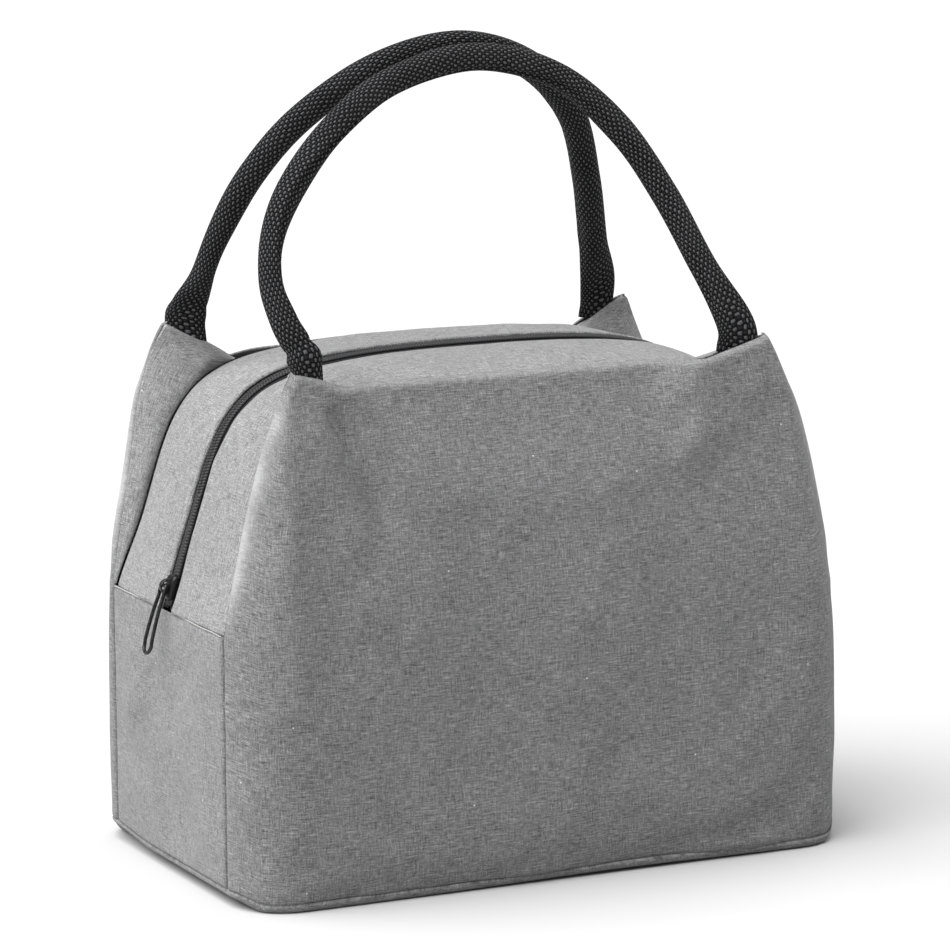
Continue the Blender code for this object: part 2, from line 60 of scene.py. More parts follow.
# Sizes shared with the CAD model, in metres
HALF_WIDTH, HALF_DEPTH = 0.140, 0.086
CORNER_R, EAR_R = 0.025, 0.005
SEAM_Y, SEAM_Z = 0.060, 0.112
EAR_TOP_Z, PANEL_TOP_Z, EAR_Y, EAR_FOLD_Y = 0.2195, 0.2117, 0.067, 0.063
FOOT, KNEE, CROWN_Z = (0.1395, 0.113), (0.1245, 0.160), 0.2155
KNEE_PULL, CROWN_PULL = 0.050, 0.095
GUSSET_Y, SAG = 0.0597, 0.004
HINGE_Y, HINGE_Z = 0.0640, 0.2213
SLIDER_START, ZIP_GAP = 0.009, 0.0054

# The base's rounded edge, and the heights at which the base and the walls meet
BASE_FILLET, BASE_RIM_Z = 0.0026, 0.0034
WALL_FOOT_Z = BASE_RIM_Z - 0.0004

# Thicknesses given to the open surfaces
CLOTH_T, FACING_T, FILM_T, ZIP_T, WEBBING_T = 0.0010, 0.0008, 0.0006, 0.0005, 0.0011

# The fold between the bag and each flap: bending starts on this line and ends this far from it
FOLD_START, FOLD_DIRECTION, FOLD_LENGTH = (-0.005, 0.158), (-0.633, 0.774), 0.040

# The panels' cloth simulation: frames, spare cloth, pressure from behind, limit of the movement
CLOTH_FRAMES, SPARE_CLOTH, PUSH, MOVE_LIMIT = 16, 0.0022, 0.14, 0.0030

# Each sun's name, direction, strength and angle in degrees, and the sky's strength
SUNS = (("key", (0.51, 0.02, -0.86), 5.9, 70), ("edge", (-0.75, -0.35, -0.55), 1.1, 70))
SKY_STRENGTH = 0.30

# The camera's azimuth, pitch and roll in degrees, what it looks at, and its lens in millimetres
CAMERA_ANGLES, CAMERA_TARGET, CAMERA_DISTANCE = (25.41, 10.29, -0.41), (0.00284, 0.0, 0.15726), 2.21
LENS, SENSOR = 196.6, 36.0


# ---- numbers


def sm(t):
    """A smooth step from 0 to 1."""
    t = np.clip(t, 0.0, 1.0)
    return t * t * (3 - 2 * t)


def lerp(a, b, t):
    return a + (b - a) * t


def hump(x, centre, width):
    return np.exp(-(((x - centre) / width) ** 2))


def squared(v, power):
    """A sine or cosine made fuller, so that a circle becomes a rounded box."""
    return np.sign(v) * np.abs(v) ** power


def curl(distance, width, depth):
    """How far a turned edge has rolled in, this far from it."""
    t = np.clip(1 - distance / width, 0, 1)
    return depth * (1 - np.sqrt(1 - t * t))


def ripple(u, v, size, seed):
    """A smooth undulation of about unit height and this wavelength."""
    rng = np.random.default_rng(seed)
    total, count = 0.0, 9
    for _ in range(count):
        angle, phase = rng.uniform(0, TAU, 2)
        k = TAU / size * rng.uniform(0.6, 1.5)
        total = total + np.sin(k * (u * math.cos(angle) + v * math.sin(angle)) + phase)
    return total / math.sqrt(count)


def ripples(u, v, seed, *layers):
    """The sum of a few undulations, each given by its wavelength and height."""
    return sum(ripple(u, v, size, seed + i) * high for i, (size, high) in enumerate(layers))


def segment_distance(x, z, a, b):
    """Distance from the line a to b, positive on its right, and the share of the way along it."""
    dx, dz = b[0] - a[0], b[1] - a[1]
    length = math.hypot(dx, dz)
    along = ((x - a[0]) * dx + (z - a[1]) * dz) / length**2
    across = ((x - a[0]) * dz - (z - a[1]) * dx) / length
    return across, along


def unit(vectors):
    """Vectors along the last axis, brought to length 1."""
    return vectors / np.maximum(np.linalg.norm(vectors, axis=-1, keepdims=True), 1e-12)


def circle(count):
    """Evenly spaced angles once round."""
    return np.arange(count) / count * TAU


def lengths_along(points):
    """The length from a path's first point to each of its points."""
    return np.r_[0.0, np.cumsum(np.linalg.norm(np.diff(points, axis=0), axis=1))]


def even_curve(points, steps, count, loop=False):
    """Evenly spaced points on a Catmull-Rom curve through the given ones, and its length."""
    points = [Vector(p) for p in points]
    if loop:
        ends = [points[-1], *points, points[0], points[1]]
    else:
        ends = [points[0] * 2 - points[1], *points, points[-1] * 2 - points[-2]]
    fine = []
    for a, b, c, d in zip(ends, ends[1:], ends[2:], ends[3:]):
        square, cube = a * 2 - b * 5 + c * 4 - d, b * 3 - a - c * 3 + d
        for t in np.linspace(0, 1, steps, endpoint=False):
            fine.append((b * 2 + (c - a) * t + square * t * t + cube * t**3) / 2)
    fine.append(fine[0] if loop else points[-1])
    coords = np.array([tuple(p) for p in fine])
    lengths = lengths_along(coords)
    s = np.linspace(0, lengths[-1], count, endpoint=not loop)
    return np.stack([np.interp(s, lengths, coords[:, k]) for k in range(3)], axis=1), lengths[-1]


# ---- node materials


class Graph:
    """A small helper that builds one node material."""

    def __init__(self, name):
        self.material = bpy.data.materials.new(name)
        self.material.use_nodes = True
        self.tree = self.material.node_tree
        self.tree.nodes.clear()

    def add(self, kind, inputs=None, **props):
        node = self.tree.nodes.new(kind)
        for key, value in props.items():
            setattr(node, key, value)
        for key, value in (inputs or {}).items():
            if isinstance(value, bpy.types.NodeSocket):
                self.tree.links.new(value, node.inputs[key])
            else:
                node.inputs[key].default_value = value
        return node

    def math(self, operation, a, b=0.0, c=0.0):
        return self.add("ShaderNodeMath", {0: a, 1: b, 2: c}, operation=operation).outputs[0]

    def plus(self, a, b):
        return self.math("ADD", a, b)

    def minus(self, a, b):
        return self.math("SUBTRACT", a, b)

    def times(self, a, b):
        return self.math("MULTIPLY", a, b)

    def wave(self, value, length):
        return self.math("SINE", self.times(value, TAU / length))

    def parts(self, vector):
        return self.add("ShaderNodeSeparateXYZ", {0: vector}).outputs

    def place(self, kind):
        return self.add("ShaderNodeTexCoord").outputs[kind]

    def scaled(self, vector, across, along, shift=(0.0, 0.0)):
        values = {0: vector, 1: (across, along, 1.0), 2: (*shift, 0.0)}
        return self.add("ShaderNodeVectorMath", values, operation="MULTIPLY_ADD").outputs[0]

    def uv_mm(self):
        """The cloth's own coordinates, in millimetres."""
        return self.scaled(self.place("UV"), 1000.0, 1000.0)

    def wandering(self, mm, scale, across, along):
        """Coordinates pushed about by a slow noise, by up to this many millimetres."""
        slow = self.noise(mm, scale, scale, 1.0)
        shift = {0: self.times(slow, across), 1: self.times(slow, along)}
        values = {0: mm, 1: self.add("ShaderNodeCombineXYZ", shift).outputs[0]}
        return self.add("ShaderNodeVectorMath", values, operation="ADD").outputs[0]

    def noise(self, vector, across, along, detail=2.0, roughness=0.5, shift=(0.0, 0.0)):
        """Noise with about this many features per millimetre across and along the cloth."""
        values = {"Vector": self.scaled(vector, across, along, shift), "Scale": 1.0}
        values.update({"Detail": detail, "Roughness": roughness})
        return self.add("ShaderNodeTexNoise", values, noise_dimensions="2D").outputs[0]

    def grain(self, scale, detail=3.0):
        """Noise in the object's own space."""
        values = {"Vector": self.place("Object"), "Scale": scale, "Detail": detail}
        return self.add("ShaderNodeTexNoise", values).outputs[0]

    def cells(self, vector, scale, **props):
        values = {"Vector": vector, "Scale": scale}
        node = self.add("ShaderNodeTexVoronoi", values, voronoi_dimensions="2D", **props)
        return node.outputs["Distance"]

    def remap(self, value, low, high, to_low=0.0, to_high=1.0):
        values = {0: value, 1: low, 2: high, 3: to_low, 4: to_high}
        return self.add("ShaderNodeMapRange", values).outputs[0]

    def ramp(self, value, *stops):
        node = self.add("ShaderNodeValToRGB", {0: value})
        elements = node.color_ramp.elements
        while len(elements) < len(stops):
            elements.new(0.5)
        for element, (place, colour) in zip(elements, stops):
            element.position = place
            element.color = (*colour, 1.0)
        return node.outputs[0]

    def mix(self, factor, a, b):
        values = {0: factor, 6: a, 7: b}
        return self.add("ShaderNodeMix", values, data_type="RGBA", blend_type="MIX").outputs[2]

    def bump(self, height, distance, strength):
        values = {"Height": height, "Distance": distance, "Strength": strength}
        return self.add("ShaderNodeBump", values).outputs[0]

    def finish(self, colour, roughness, normal=None, **inputs):
        values = {"Base Color": colour, "Roughness": roughness}
        values.update({key.replace("_", " "): value for key, value in inputs.items()})
        if normal is not None:
            values["Normal"] = normal
        shader = self.add("ShaderNodeBsdfPrincipled", values)
        self.add("ShaderNodeOutputMaterial", {"Surface": shader.outputs[0]})
        return self.material


def knuckles(g, mm, across, along):
    """The product of two sines, one along each axis of the cloth: a staggered grid of bumps."""
    parts = g.parts(mm)
    return g.times(g.wave(parts[0], across), g.wave(parts[1], along))


def melange(name, weft_share, warp_share, tone_with_painted_light):
    """Grey melange plain weave: slubby yarns of mixed greys, over and under each other."""
    g = Graph(name)
    mm = g.uv_mm()
    bent = g.wandering(mm, 0.11, 0.7, 0.6)
    weft = g.noise(bent, 0.26, 2.0, 3.0, 0.6)
    warp = g.noise(bent, 2.0, 0.26, 3.0, 0.6, (31.7, 12.3))
    weft_slub = g.noise(bent, 0.11, 1.5, shift=(7.1, 3.9))
    warp_slub = g.noise(bent, 1.5, 0.11, shift=(3.3, 9.2))
    grain = g.noise(mm, 1.6, 1.6, 2.0, 0.6, (5.0, 1.0))
    cloud = g.noise(mm, 0.035, 0.05)
    yarn_pitch = 1.08
    weave = knuckles(g, bent, yarn_pitch, yarn_pitch)

    def part(value, share):
        return g.times(g.minus(value, 0.5), share)

    yarn = g.plus(part(weft, 0.72 * weft_share), part(warp, 0.72 * warp_share))
    yarn = g.plus(yarn, part(grain, 0.55))
    value = g.plus(yarn, part(cloud, 0.09))
    for slub, share in ((weft_slub, 1.25 * weft_share), (warp_slub, warp_share)):
        value = g.plus(value, g.remap(slub, 0.60, 0.76, 0.0, 0.16 * share))
        value = g.minus(value, g.remap(slub, 0.40, 0.25, 0.0, 0.14 * share))
    value = g.plus(value, g.math("MULTIPLY_ADD", weave, 0.05, 0.5))
    # the tint scales the greys per copy: darker as painted shade, paler as painted light
    greys = ((0.10, 0.060), (0.38, 0.150), (0.62, 0.262), (0.95, 0.440))
    colour = g.ramp(value, *((at, (t * tone_with_painted_light, t * tone_with_painted_light, t * tone_with_painted_light * 1.01)) for at, t in greys))
    # folds and top edges are paler by a painted highlight, and a few pale specks are spun into the
    # yarn
    wear_and_highlight = g.add("ShaderNodeAttribute", attribute_name="wear_and_highlight").outputs["Fac"]
    colour = g.mix(g.times(wear_and_highlight, 0.52), colour, (0.62, 0.62, 0.62, 1.0))
    specks = g.remap(g.cells(mm, 0.014), 0.0058, 0.0030)
    colour = g.mix(specks, colour, (0.72, 0.72, 0.71, 1.0))
    height = g.plus(g.times(g.math("ABSOLUTE", weave), 0.5), g.times(value, 0.9))
    height = g.plus(height, g.times(g.noise(mm, 3.1, 3.1), 0.3))
    rough = g.remap(yarn, -0.3, 0.3, 0.94, 0.82)
    nap = {"Sheen_Weight": 0.15, "Sheen_Roughness": 0.45, "Specular_IOR_Level": 0.20}
    return g.finish(colour, rough, g.bump(height, 0.00024, 0.8), **nap)


def webbing_material():
    """Black basket-weave webbing: staggered knuckles of yarn, their tops paler in the colour as
    painted highlight.
    """
    g = Graph("webbing_black")
    mm = g.wandering(g.uv_mm(), 0.12, 1.6, 1.6)
    knuckle = knuckles(g, mm, 2.3, 3.5)
    over = g.math("MAXIMUM", knuckle, 0.0)
    under = g.math("MAXIMUM", g.times(knuckle, -1.0), 0.0)
    threads = g.noise(mm, 4.5, 1.2)
    worn = g.noise(mm, 0.05, 0.05)
    # painted highlight on the knuckles' tops
    lift = g.plus(g.remap(over, 0.02, 0.50), g.remap(under, 0.30, 0.9, 0.0, 0.34))
    knuckle_highlight = g.times(lift, g.remap(threads, 0.32, 0.66, 0.45, 1.0))
    colour = g.ramp(
        g.plus(knuckle_highlight, g.times(g.minus(worn, 0.5), 0.25)),
        (0.0, (0.004, 0.004, 0.005)),
        (0.22, (0.014, 0.014, 0.015)),
        (0.62, (0.088, 0.089, 0.092)),
        (1.0, (0.125, 0.126, 0.130)),
    )
    height = g.plus(g.math("POWER", g.math("ABSOLUTE", knuckle), 0.6), g.times(threads, 0.16))
    rough = g.remap(knuckle_highlight, 0.0, 1.0, 0.85, 0.60)
    return g.finish(colour, rough, g.bump(height, 0.0011, 0.9), Specular_IOR_Level=0.12)


def tape_material():
    g = Graph("zip_tape_weave")
    mm = g.uv_mm()
    parts = g.parts(mm)
    twill = g.wave(g.plus(parts[0], parts[1]), 0.9)
    value = g.plus(g.times(twill, 0.22), g.noise(mm, 2.2, 2.2))
    colour = g.ramp(value, (0.2, (0.006, 0.006, 0.007)), (0.8, (0.024, 0.024, 0.026)))
    return g.finish(colour, 0.86, g.bump(value, 0.0002, 0.7), Specular_IOR_Level=0.2)


def coil_material():
    g = Graph("zip_coil_nylon")
    fine = g.noise(g.uv_mm(), 1.5, 1.5)
    colour = g.ramp(fine, (0.3, (0.009, 0.009, 0.010)), (0.75, (0.038, 0.038, 0.040)))
    rough = g.remap(fine, 0.3, 0.7, 0.42, 0.60)
    return g.finish(colour, rough, g.bump(fine, 0.00008, 0.5), Specular_IOR_Level=0.35)


def metal_material():
    """Black enamel, rubbed through at the edges."""
    g = Graph("zip_metal_black")
    grain = g.grain(900.0)
    edge = g.add("ShaderNodeNewGeometry").outputs["Pointiness"]
    wear_and_highlight = g.times(g.remap(edge, 0.53, 0.60), g.remap(grain, 0.4, 0.65))
    colour = g.mix(wear_and_highlight, (0.012, 0.012, 0.013, 1.0), (0.16, 0.16, 0.165, 1.0))
    rough = g.remap(grain, 0.3, 0.7, 0.26, 0.42)
    return g.finish(colour, rough, g.bump(grain, 0.00005, 0.4), Metallic=0.55)


def foil_material():
    g = Graph("foil_film")
    mm = g.uv_mm()
    crease = g.cells(g.scaled(mm, 0.13, 0.13), 1.0, feature="SMOOTH_F1")
    soft = g.noise(mm, 0.09, 0.09, 4.0, 0.55)
    fine = g.noise(mm, 0.6, 0.6, 3.0, 0.6)
    height = g.plus(g.times(crease, 0.5), g.plus(soft, g.times(fine, 0.25)))
    colour = g.ramp(soft, (0.25, (0.70, 0.71, 0.73)), (0.75, (0.88, 0.89, 0.91)))
    rough = g.remap(fine, 0.3, 0.7, 0.18, 0.36)
    return g.finish(colour, rough, g.bump(height, 0.0050, 0.7), Metallic=0.88)


def thread_material():
    g = Graph("thread_white")
    parts = g.parts(g.uv_mm())
    twist = g.wave(g.plus(parts[0], g.times(parts[1], 2.0)), 0.9)
    shade = g.remap(twist, -1.0, 1.0)
    colour = g.ramp(shade, (0.0, (0.30, 0.30, 0.295)), (1.0, (0.58, 0.58, 0.57)))
    return g.finish(colour, 0.8, g.bump(twist, 0.0001, 0.7))


def board_material():
    g = Graph("board_black")
    grain = g.grain(700.0)
    colour = g.ramp(grain, (0.3, (0.035, 0.035, 0.036)), (0.7, (0.07, 0.07, 0.072)))
    return g.finish(colour, 0.6, g.bump(grain, 0.0001, 0.5))


def rope_material():
    g = Graph("rope_core")
    values = {"Vector": g.place("Object"), "Scale": 160.0, "Distortion": 3.0}
    plait = g.add("ShaderNodeTexWave", values).outputs["Fac"]
    colour = g.ramp(plait, (0.2, (0.50, 0.48, 0.43)), (0.8, (0.78, 0.76, 0.70)))
    return g.finish(colour, 0.9, g.bump(plait, 0.0006, 0.7))


def floor_material():
    g = Graph("floor_pale")
    soft = g.grain(0.8, 2.0)
    return g.finish(g.ramp(soft, (0.3, (0.50, 0.50, 0.50)), (0.7, (0.53, 0.53, 0.53))), 0.9)


# Each kind of surface: its material and its CAD slot. The three melanges are one fabric: the copy
# for the panels and the base is darker as painted shade, and the gusset's is paler as painted
# light, by how light falls on those faces
KINDS = {
    "front": (melange("melange_front_painted_shade", 1.0, 0.80, 0.89), "melange_fabric"),
    "side": (melange("melange_side", 0.70, 0.85, 0.99), "melange_fabric"),
    "gusset": (melange("melange_gusset_painted_light", 0.70, 0.95, 1.16), "melange_fabric"),
    "webbing": (webbing_material(), "webbing"),
    "tape": (tape_material(), "zip_tape"),
    "coil": (coil_material(), "zip_coil"),
    "metal": (metal_material(), "zip_metal"),
    "foil": (foil_material(), "foil_lining"),
    "thread": (thread_material(), "melange_fabric"),
    "board": (board_material(), "base_board"),
    "rope": (rope_material(), "rope_core"),
}


# ---- grids


def arc_uv(points):
    """Each grid point's own (u, v): lengths along its row and its column, from the middle."""
    across = np.zeros(points.shape[:2])
    across[:, 1:] = np.cumsum(np.linalg.norm(np.diff(points, axis=1), axis=2), axis=1)
    across -= across[:, [points.shape[1] // 2]]
    along = np.zeros(points.shape[:2])
    along[1:] = np.cumsum(np.linalg.norm(np.diff(points, axis=0), axis=2), axis=0)
    return np.stack([across, along], axis=2)


def normals_of(points):
    """Unit normals of a grid of points, by central differences."""
    return unit(np.cross(np.gradient(points, axis=1), np.gradient(points, axis=0)))


def thicken(obj, name, thickness):
    """Thickness grown inwards from a surface."""
    solid = obj.modifiers.new(name, "SOLIDIFY")
    solid.thickness, solid.offset = thickness, -1.0


def grid(name, points, kind, outward=None, thickness=None, ring=False, uv=None, wear_and_highlight=None):
    """A mesh from rows and columns of points; ring joins each row's two ends."""
    rows, cols = points.shape[:2]
    if uv is None:
        uv = arc_uv(np.concatenate([points, points[:, :1]], axis=1) if ring else points)
    r, c = np.meshgrid(np.arange(rows - 1), np.arange(cols if ring else cols - 1), indexing="ij")
    r, c = r.ravel(), c.ravel()
    d = (c + 1) % cols
    faces = np.stack([r * cols + c, r * cols + d, (r + 1) * cols + d, (r + 1) * cols + c], axis=1)
    loop_uv = np.stack([uv[r, c], uv[r, c + 1], uv[r + 1, c + 1], uv[r + 1, c]], axis=1)
    verts = points.reshape(-1, 3)
    if outward is not None:
        p = verts[faces[len(faces) // 2]]
        if np.dot(np.cross(p[2] - p[0], p[3] - p[1]), outward) < 0:
            faces, loop_uv = faces[:, ::-1], loop_uv[:, ::-1]
    material, slot = KINDS[kind]
    mesh = bpy.data.meshes.new(name)
    mesh.from_pydata(verts.tolist(), [], faces.tolist())
    mesh.materials.append(material)
    layer = mesh.uv_layers.new(name="cloth")
    layer.data.foreach_set("uv", np.asarray(loop_uv, np.float32).ravel())
    # a mask of painted highlight, kept on the points for the melange
    if wear_and_highlight is not None:
        layer = mesh.attributes.new("wear_and_highlight", "FLOAT", "POINT")
        layer.data.foreach_set("value", np.asarray(wear_and_highlight, np.float32).ravel())
    mesh.shade_smooth()
    obj = bpy.data.objects.new(name, mesh)
    bpy.context.scene.collection.objects.link(obj)
    if thickness:
        thicken(obj, "cloth_thickness", thickness)
    return obj


@contextmanager
def editing(obj):
    """A mesh opened for editing, and written back afterwards."""
    work = bmesh.new()
    work.from_mesh(obj.data)
    yield work
    work.to_mesh(obj.data)
    work.free()


def make_agree(work):
    """Turns a mesh's faces so that they all look the same way."""
    bmesh.ops.recalc_face_normals(work, faces=work.faces)


def closed_tube(name, rows, kind):
    """A tube through rings of points, with both ends closed."""
    obj = grid(name, np.array(rows), kind, ring=True)
    with editing(obj) as work:
        bmesh.ops.holes_fill(work, edges=[e for e in work.edges if e.is_boundary], sides=0)
        make_agree(work)
    return obj


def round_tube(name, path, radius, kind, sides):
    """A round tube along a path of points."""
    tangent = unit(np.gradient(path, axis=0))
    normal = np.cross(tangent[0], (0.0, 0.0, 1.0) if abs(tangent[0][2]) < 0.9 else (1.0, 0.0, 0.0))
    rows = []
    for p, t in zip(path, tangent):
        normal = normal - t * np.dot(normal, t)
        normal /= np.linalg.norm(normal)
        across = np.cross(t, normal)
        ring = [p + (normal * math.cos(a) + across * math.sin(a)) * radius for a in circle(sides)]
        rows.append(ring)
    return closed_tube(name, rows, kind)


def close_floor(obj, reach):
    """Fills the small hole in a floor's middle, and turns the floor's outer face downwards."""
    with editing(obj) as work:
        edges = [e for e in work.edges if e.is_boundary]
        edges = [e for e in edges if all(v.co.xy.length < reach for v in e.verts)]
        bmesh.ops.holes_fill(work, edges=edges, sides=0)
        make_agree(work)
        middle = min(work.faces, key=lambda f: f.calc_center_median().xy.length)
        if middle.normal.z > 0:
            bmesh.ops.reverse_faces(work, faces=work.faces)


# ---- cloth


def resample(field, rows, cols):
    """A grid of vectors read at another number of rows and columns, bilinearly."""
    r, c = np.linspace(0, field.shape[0] - 1, rows), np.linspace(0, field.shape[1] - 1, cols)
    r0 = np.minimum(r.astype(int), field.shape[0] - 2)
    c0 = np.minimum(c.astype(int), field.shape[1] - 2)
    fr, fc = (r - r0)[:, None, None], (c - c0)[None, :, None]
    top = field[r0][:, c0] * (1 - fc) + field[r0][:, c0 + 1] * fc
    low = field[r0 + 1][:, c0] * (1 - fc) + field[r0 + 1][:, c0 + 1] * fc
    return top * (1 - fr) + low * fr


def simulate(start, firm, push):
    """How far a grid of points moves as pinned cloth."""
    rows, cols = firm.shape
    index = np.arange(rows * cols).reshape(rows, cols)
    faces = np.stack([index[:-1, :-1], index[:-1, 1:], index[1:, 1:], index[1:, :-1]], axis=2)
    mesh = bpy.data.meshes.new("relaxing")
    mesh.from_pydata(start.reshape(-1, 3).tolist(), [], faces.reshape(-1, 4).tolist())
    obj = bpy.data.objects.new("relaxing", mesh)
    scene = bpy.context.scene
    scene.collection.objects.link(obj)
    group = obj.vertex_groups.new(name="sewn")
    for i, weight in enumerate(firm.ravel()):
        group.add([i], float(weight), "REPLACE")
    cloth = obj.modifiers.new("cloth", "CLOTH")
    settings = cloth.settings
    settings.quality, settings.mass = 6, 0.25
    settings.tension_stiffness = settings.compression_stiffness = 12
    settings.shear_stiffness, settings.bending_stiffness = 6, 4.0
    settings.tension_damping = settings.compression_damping = settings.air_damping = 6
    settings.vertex_group_mass, settings.pin_stiffness = "sewn", 1.0
    settings.shrink_min = -SPARE_CLOTH
    settings.use_pressure, settings.uniform_pressure_force = True, push
    settings.effector_weights.gravity = 0.15
    cloth.collision_settings.use_collision = False
    for step in range(1, CLOTH_FRAMES + 1):
        scene.frame_set(step)
    done = obj.evaluated_get(bpy.context.evaluated_depsgraph_get()).data
    moved = np.empty(rows * cols * 3, np.float32)
    done.vertices.foreach_get("co", moved)
    scene.frame_set(1)
    bpy.data.objects.remove(obj)
    bpy.data.meshes.remove(mesh)
    return moved.reshape(rows, cols, 3).astype(float) - start


def relax(points, held, push):
    """How far a panel of cloth buckles inside its seams, simulated at half the detail.

    held is how firmly each point is sewn, and push is the pressure of the padding behind it,
    along the grid's normals.
    """
    rows, cols = points.shape[0] // 2, points.shape[1] // 2
    firm = resample(np.repeat(held[:, :, None], 3, axis=2), rows, cols)[:, :, 0]
    firm[0], firm[-1], firm[:, 0], firm[:, -1] = 1, 1, 1, 1
    shift = simulate(resample(points, rows, cols), firm, push)
    for _ in range(2):
        inner = shift[1:-1, 1:-1]
        around = shift[:-2, 1:-1] + shift[2:, 1:-1] + shift[1:-1, :-2] + shift[1:-1, 2:]
        shift[1:-1, 1:-1] = inner * 0.5 + around * 0.125
    size = np.linalg.norm(shift, axis=2, keepdims=True)
    shift *= MOVE_LIMIT / (MOVE_LIMIT + size)
    return resample(shift, *points.shape[:2])


def fold(obj, turn):
    """Bakes a piece's placement into its mesh; the fold between the bag and its flap is worked out
    but not applied.
    """
    y, z = FOLD_START
    dy, dz = (component * FOLD_LENGTH for component in FOLD_DIRECTION)
    start, end = (0.0, -turn * y, z), (0.0, -turn * (y + dy), z + dz)
    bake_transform(obj)
    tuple(start)
    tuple(end)


# ---- the bag's surfaces


def rise(z):
    """The share of the way up the ears."""
    return np.clip((z - SEAM_Z) / (EAR_TOP_Z - SEAM_Z), 0, 1)


def edge_x(z):
    """How far out a panel reaches at this height."""
    return HALF_WIDTH - 0.022 * rise(z) - 0.009 * rise(z) ** 4


def fold_y(z):
    """How far out the ears' folds stand at this height."""
    return lerp(SEAM_Y + 0.0003, EAR_FOLD_Y, rise(z))


def rear_slack(turn, z):
    """How much further out the rear ears' folds stand, half way up."""
    return (0.0032 if turn > 0 else 0.0) * np.sin(math.pi * rise(z)) ** 0.8


def stretch_ear(turn, points, weight=1.0):
    """The rear ears are pulled about by their handle: the left one up, outwards and backwards."""
    if turn > 0:
        x, z = points[..., 0].copy(), points[..., 2].copy()
        pull = sm((np.abs(x) - 0.088) / 0.020) * sm((z - 0.165) / 0.050) * weight
        twist = sm((np.abs(x) - 0.0935) / 0.0145) * sm((z - 0.150) / 0.045) * weight
        left = x < 0
        points[..., 0] -= np.where(left, 0.0022, 0.0025) * pull
        points[..., 1] += np.where(left, 0.0055, 0.0) * twist
        points[..., 2] += np.where(left, 0.0030, 0.0008) * pull
    return points


def lift_rim(points):
    """Raises the soft bottom edge off the floor, along the sides and round the corners."""
    x, y, z = points[..., 0], points[..., 1], points[..., 2]
    fade = (1 - np.clip(z / 0.036, 0, 1)) ** 2
    behind = sm((y - 0.020) / 0.045)
    left = 0.0036 + 0.0028 * behind
    right = 0.0040 + 0.0028 * sm((-y - 0.020) / 0.040) + 0.0016 * behind
    lift = np.where(x < 0, left, right) * sm((np.abs(x) - 0.1305) / 0.0085)
    middle = 0.0010 * sm((np.abs(y) - 0.0765) / 0.008) * hump(x, 0.03, 0.06)
    points[..., 2] += (lift + middle) * fade


def panel_top(turn, x):
    """Height of a panel's top edge: level between the ears, and up to each ear's tip."""
    ear = EAR_TOP_Z - PANEL_TOP_Z
    if turn < 0:
        left = np.clip((-x - 0.0890) / 0.0200, 0, 1) ** 0.8
        right = np.clip((x - 0.0765) / 0.0325, 0, 1) ** 1.1
        return PANEL_TOP_Z + ear * (left + right)
    inward = 0.109 - np.abs(x)
    slope = EAR_TOP_Z - 0.40 * inward - 10.0 * np.maximum(0.0, inward - 0.012) ** 2
    return np.clip(slope, np.minimum(seam_height(x) + 0.0006, PANEL_TOP_Z), EAR_TOP_Z)


def arch(share):
    """Points (x, z) of the right half of the zip's arch, and its outward normals.

    The share is 0 at the foot, 1 at the knee and 2 at the crown.
    """
    share = np.asarray(share, float)
    foot, knee = np.array(FOOT), np.array(KNEE)
    along = (knee - foot) / np.linalg.norm(knee - foot)
    straight = foot + (knee - foot) * share[..., None]
    t = np.clip(share - 1.0, 0.0, 1.0)[..., None]
    b, c, d = knee + along * KNEE_PULL, np.array([CROWN_PULL, CROWN_Z]), np.array([0.0, CROWN_Z])
    curve = knee * (1 - t) ** 3 + b * 3 * t * (1 - t) ** 2 + c * 3 * t * t * (1 - t) + d * t**3
    heading = (b - knee) * (1 - t) ** 2 + (c - b) * 2 * t * (1 - t) + (d - c) * t * t
    heading /= np.linalg.norm(heading, axis=-1, keepdims=True)
    low = share[..., None] <= 1.0
    point = np.where(low, straight, curve)
    heading = np.where(low, along, heading)
    return point, np.stack([heading[..., 1], -heading[..., 0]], axis=-1)


def arch_table(low):
    """Shares from this one up to the crown, and the arch's length as far as each of them."""
    shares = np.linspace(low, 2.0, 2000)
    return shares, lengths_along(arch(shares)[0])


def arch_route(count, low=0.0):
    """Evenly spaced sides and shares from the left, over the crown, down to the right."""
    shares, lengths = arch_table(low)
    half = np.interp(np.linspace(0, lengths[-1], count // 2), lengths, shares)
    side = np.r_[-np.ones(len(half)), np.ones(len(half) - 1)]
    return side, np.r_[half, half[-2::-1]]


def gusset_surface(side, share, y, inset=0.0):
    """Points of the zip gusset on the arch, at y and at a depth below its outer face."""
    side, share, y = np.broadcast_arrays(side, share, y)
    point, normal = arch(share)
    sag = lerp(0.0015, SAG, sm(share / 0.7)) * (y / GUSSET_Y) ** 2
    place = point - normal * (sag + inset)[..., None]
    return np.stack([side * place[..., 0], y, place[..., 1]], axis=-1)


def arch_grid(side, share, y):
    """Two grids: the lengths along this stretch of the arch, and the values across it."""
    return np.meshgrid(lengths_along(gusset_surface(side, share, 0.0)), y, indexing="ij")


def arch_piece(name, kind, route, s, y, turn, inset, thickness, outward=(0, 0, 1), wide=None):
    """A piece of one half that lies along the arch, whose UVs are y across and s along it."""
    side, share = route
    wide = y if wide is None else wide
    points = gusset_surface(side[:, None], share[:, None], turn * wide, inset)
    return grid(name, points, kind, outward, thickness, uv=np.stack([y, s], axis=2))


def seam_height(x):
    """Height of the seam between the gusset and a panel, at this distance across the bag."""
    points = gusset_surface(1.0, np.linspace(0.0, 2.0, 400), GUSSET_Y)
    return np.interp(-np.abs(x), -points[:, 0], points[:, 2])


# ---- front and rear panels


def right_edge(z):
    """Where the sunk middle ends beside the right ear."""
    return lerp(0.053, 0.0670, sm((z - 0.160) / 0.040))


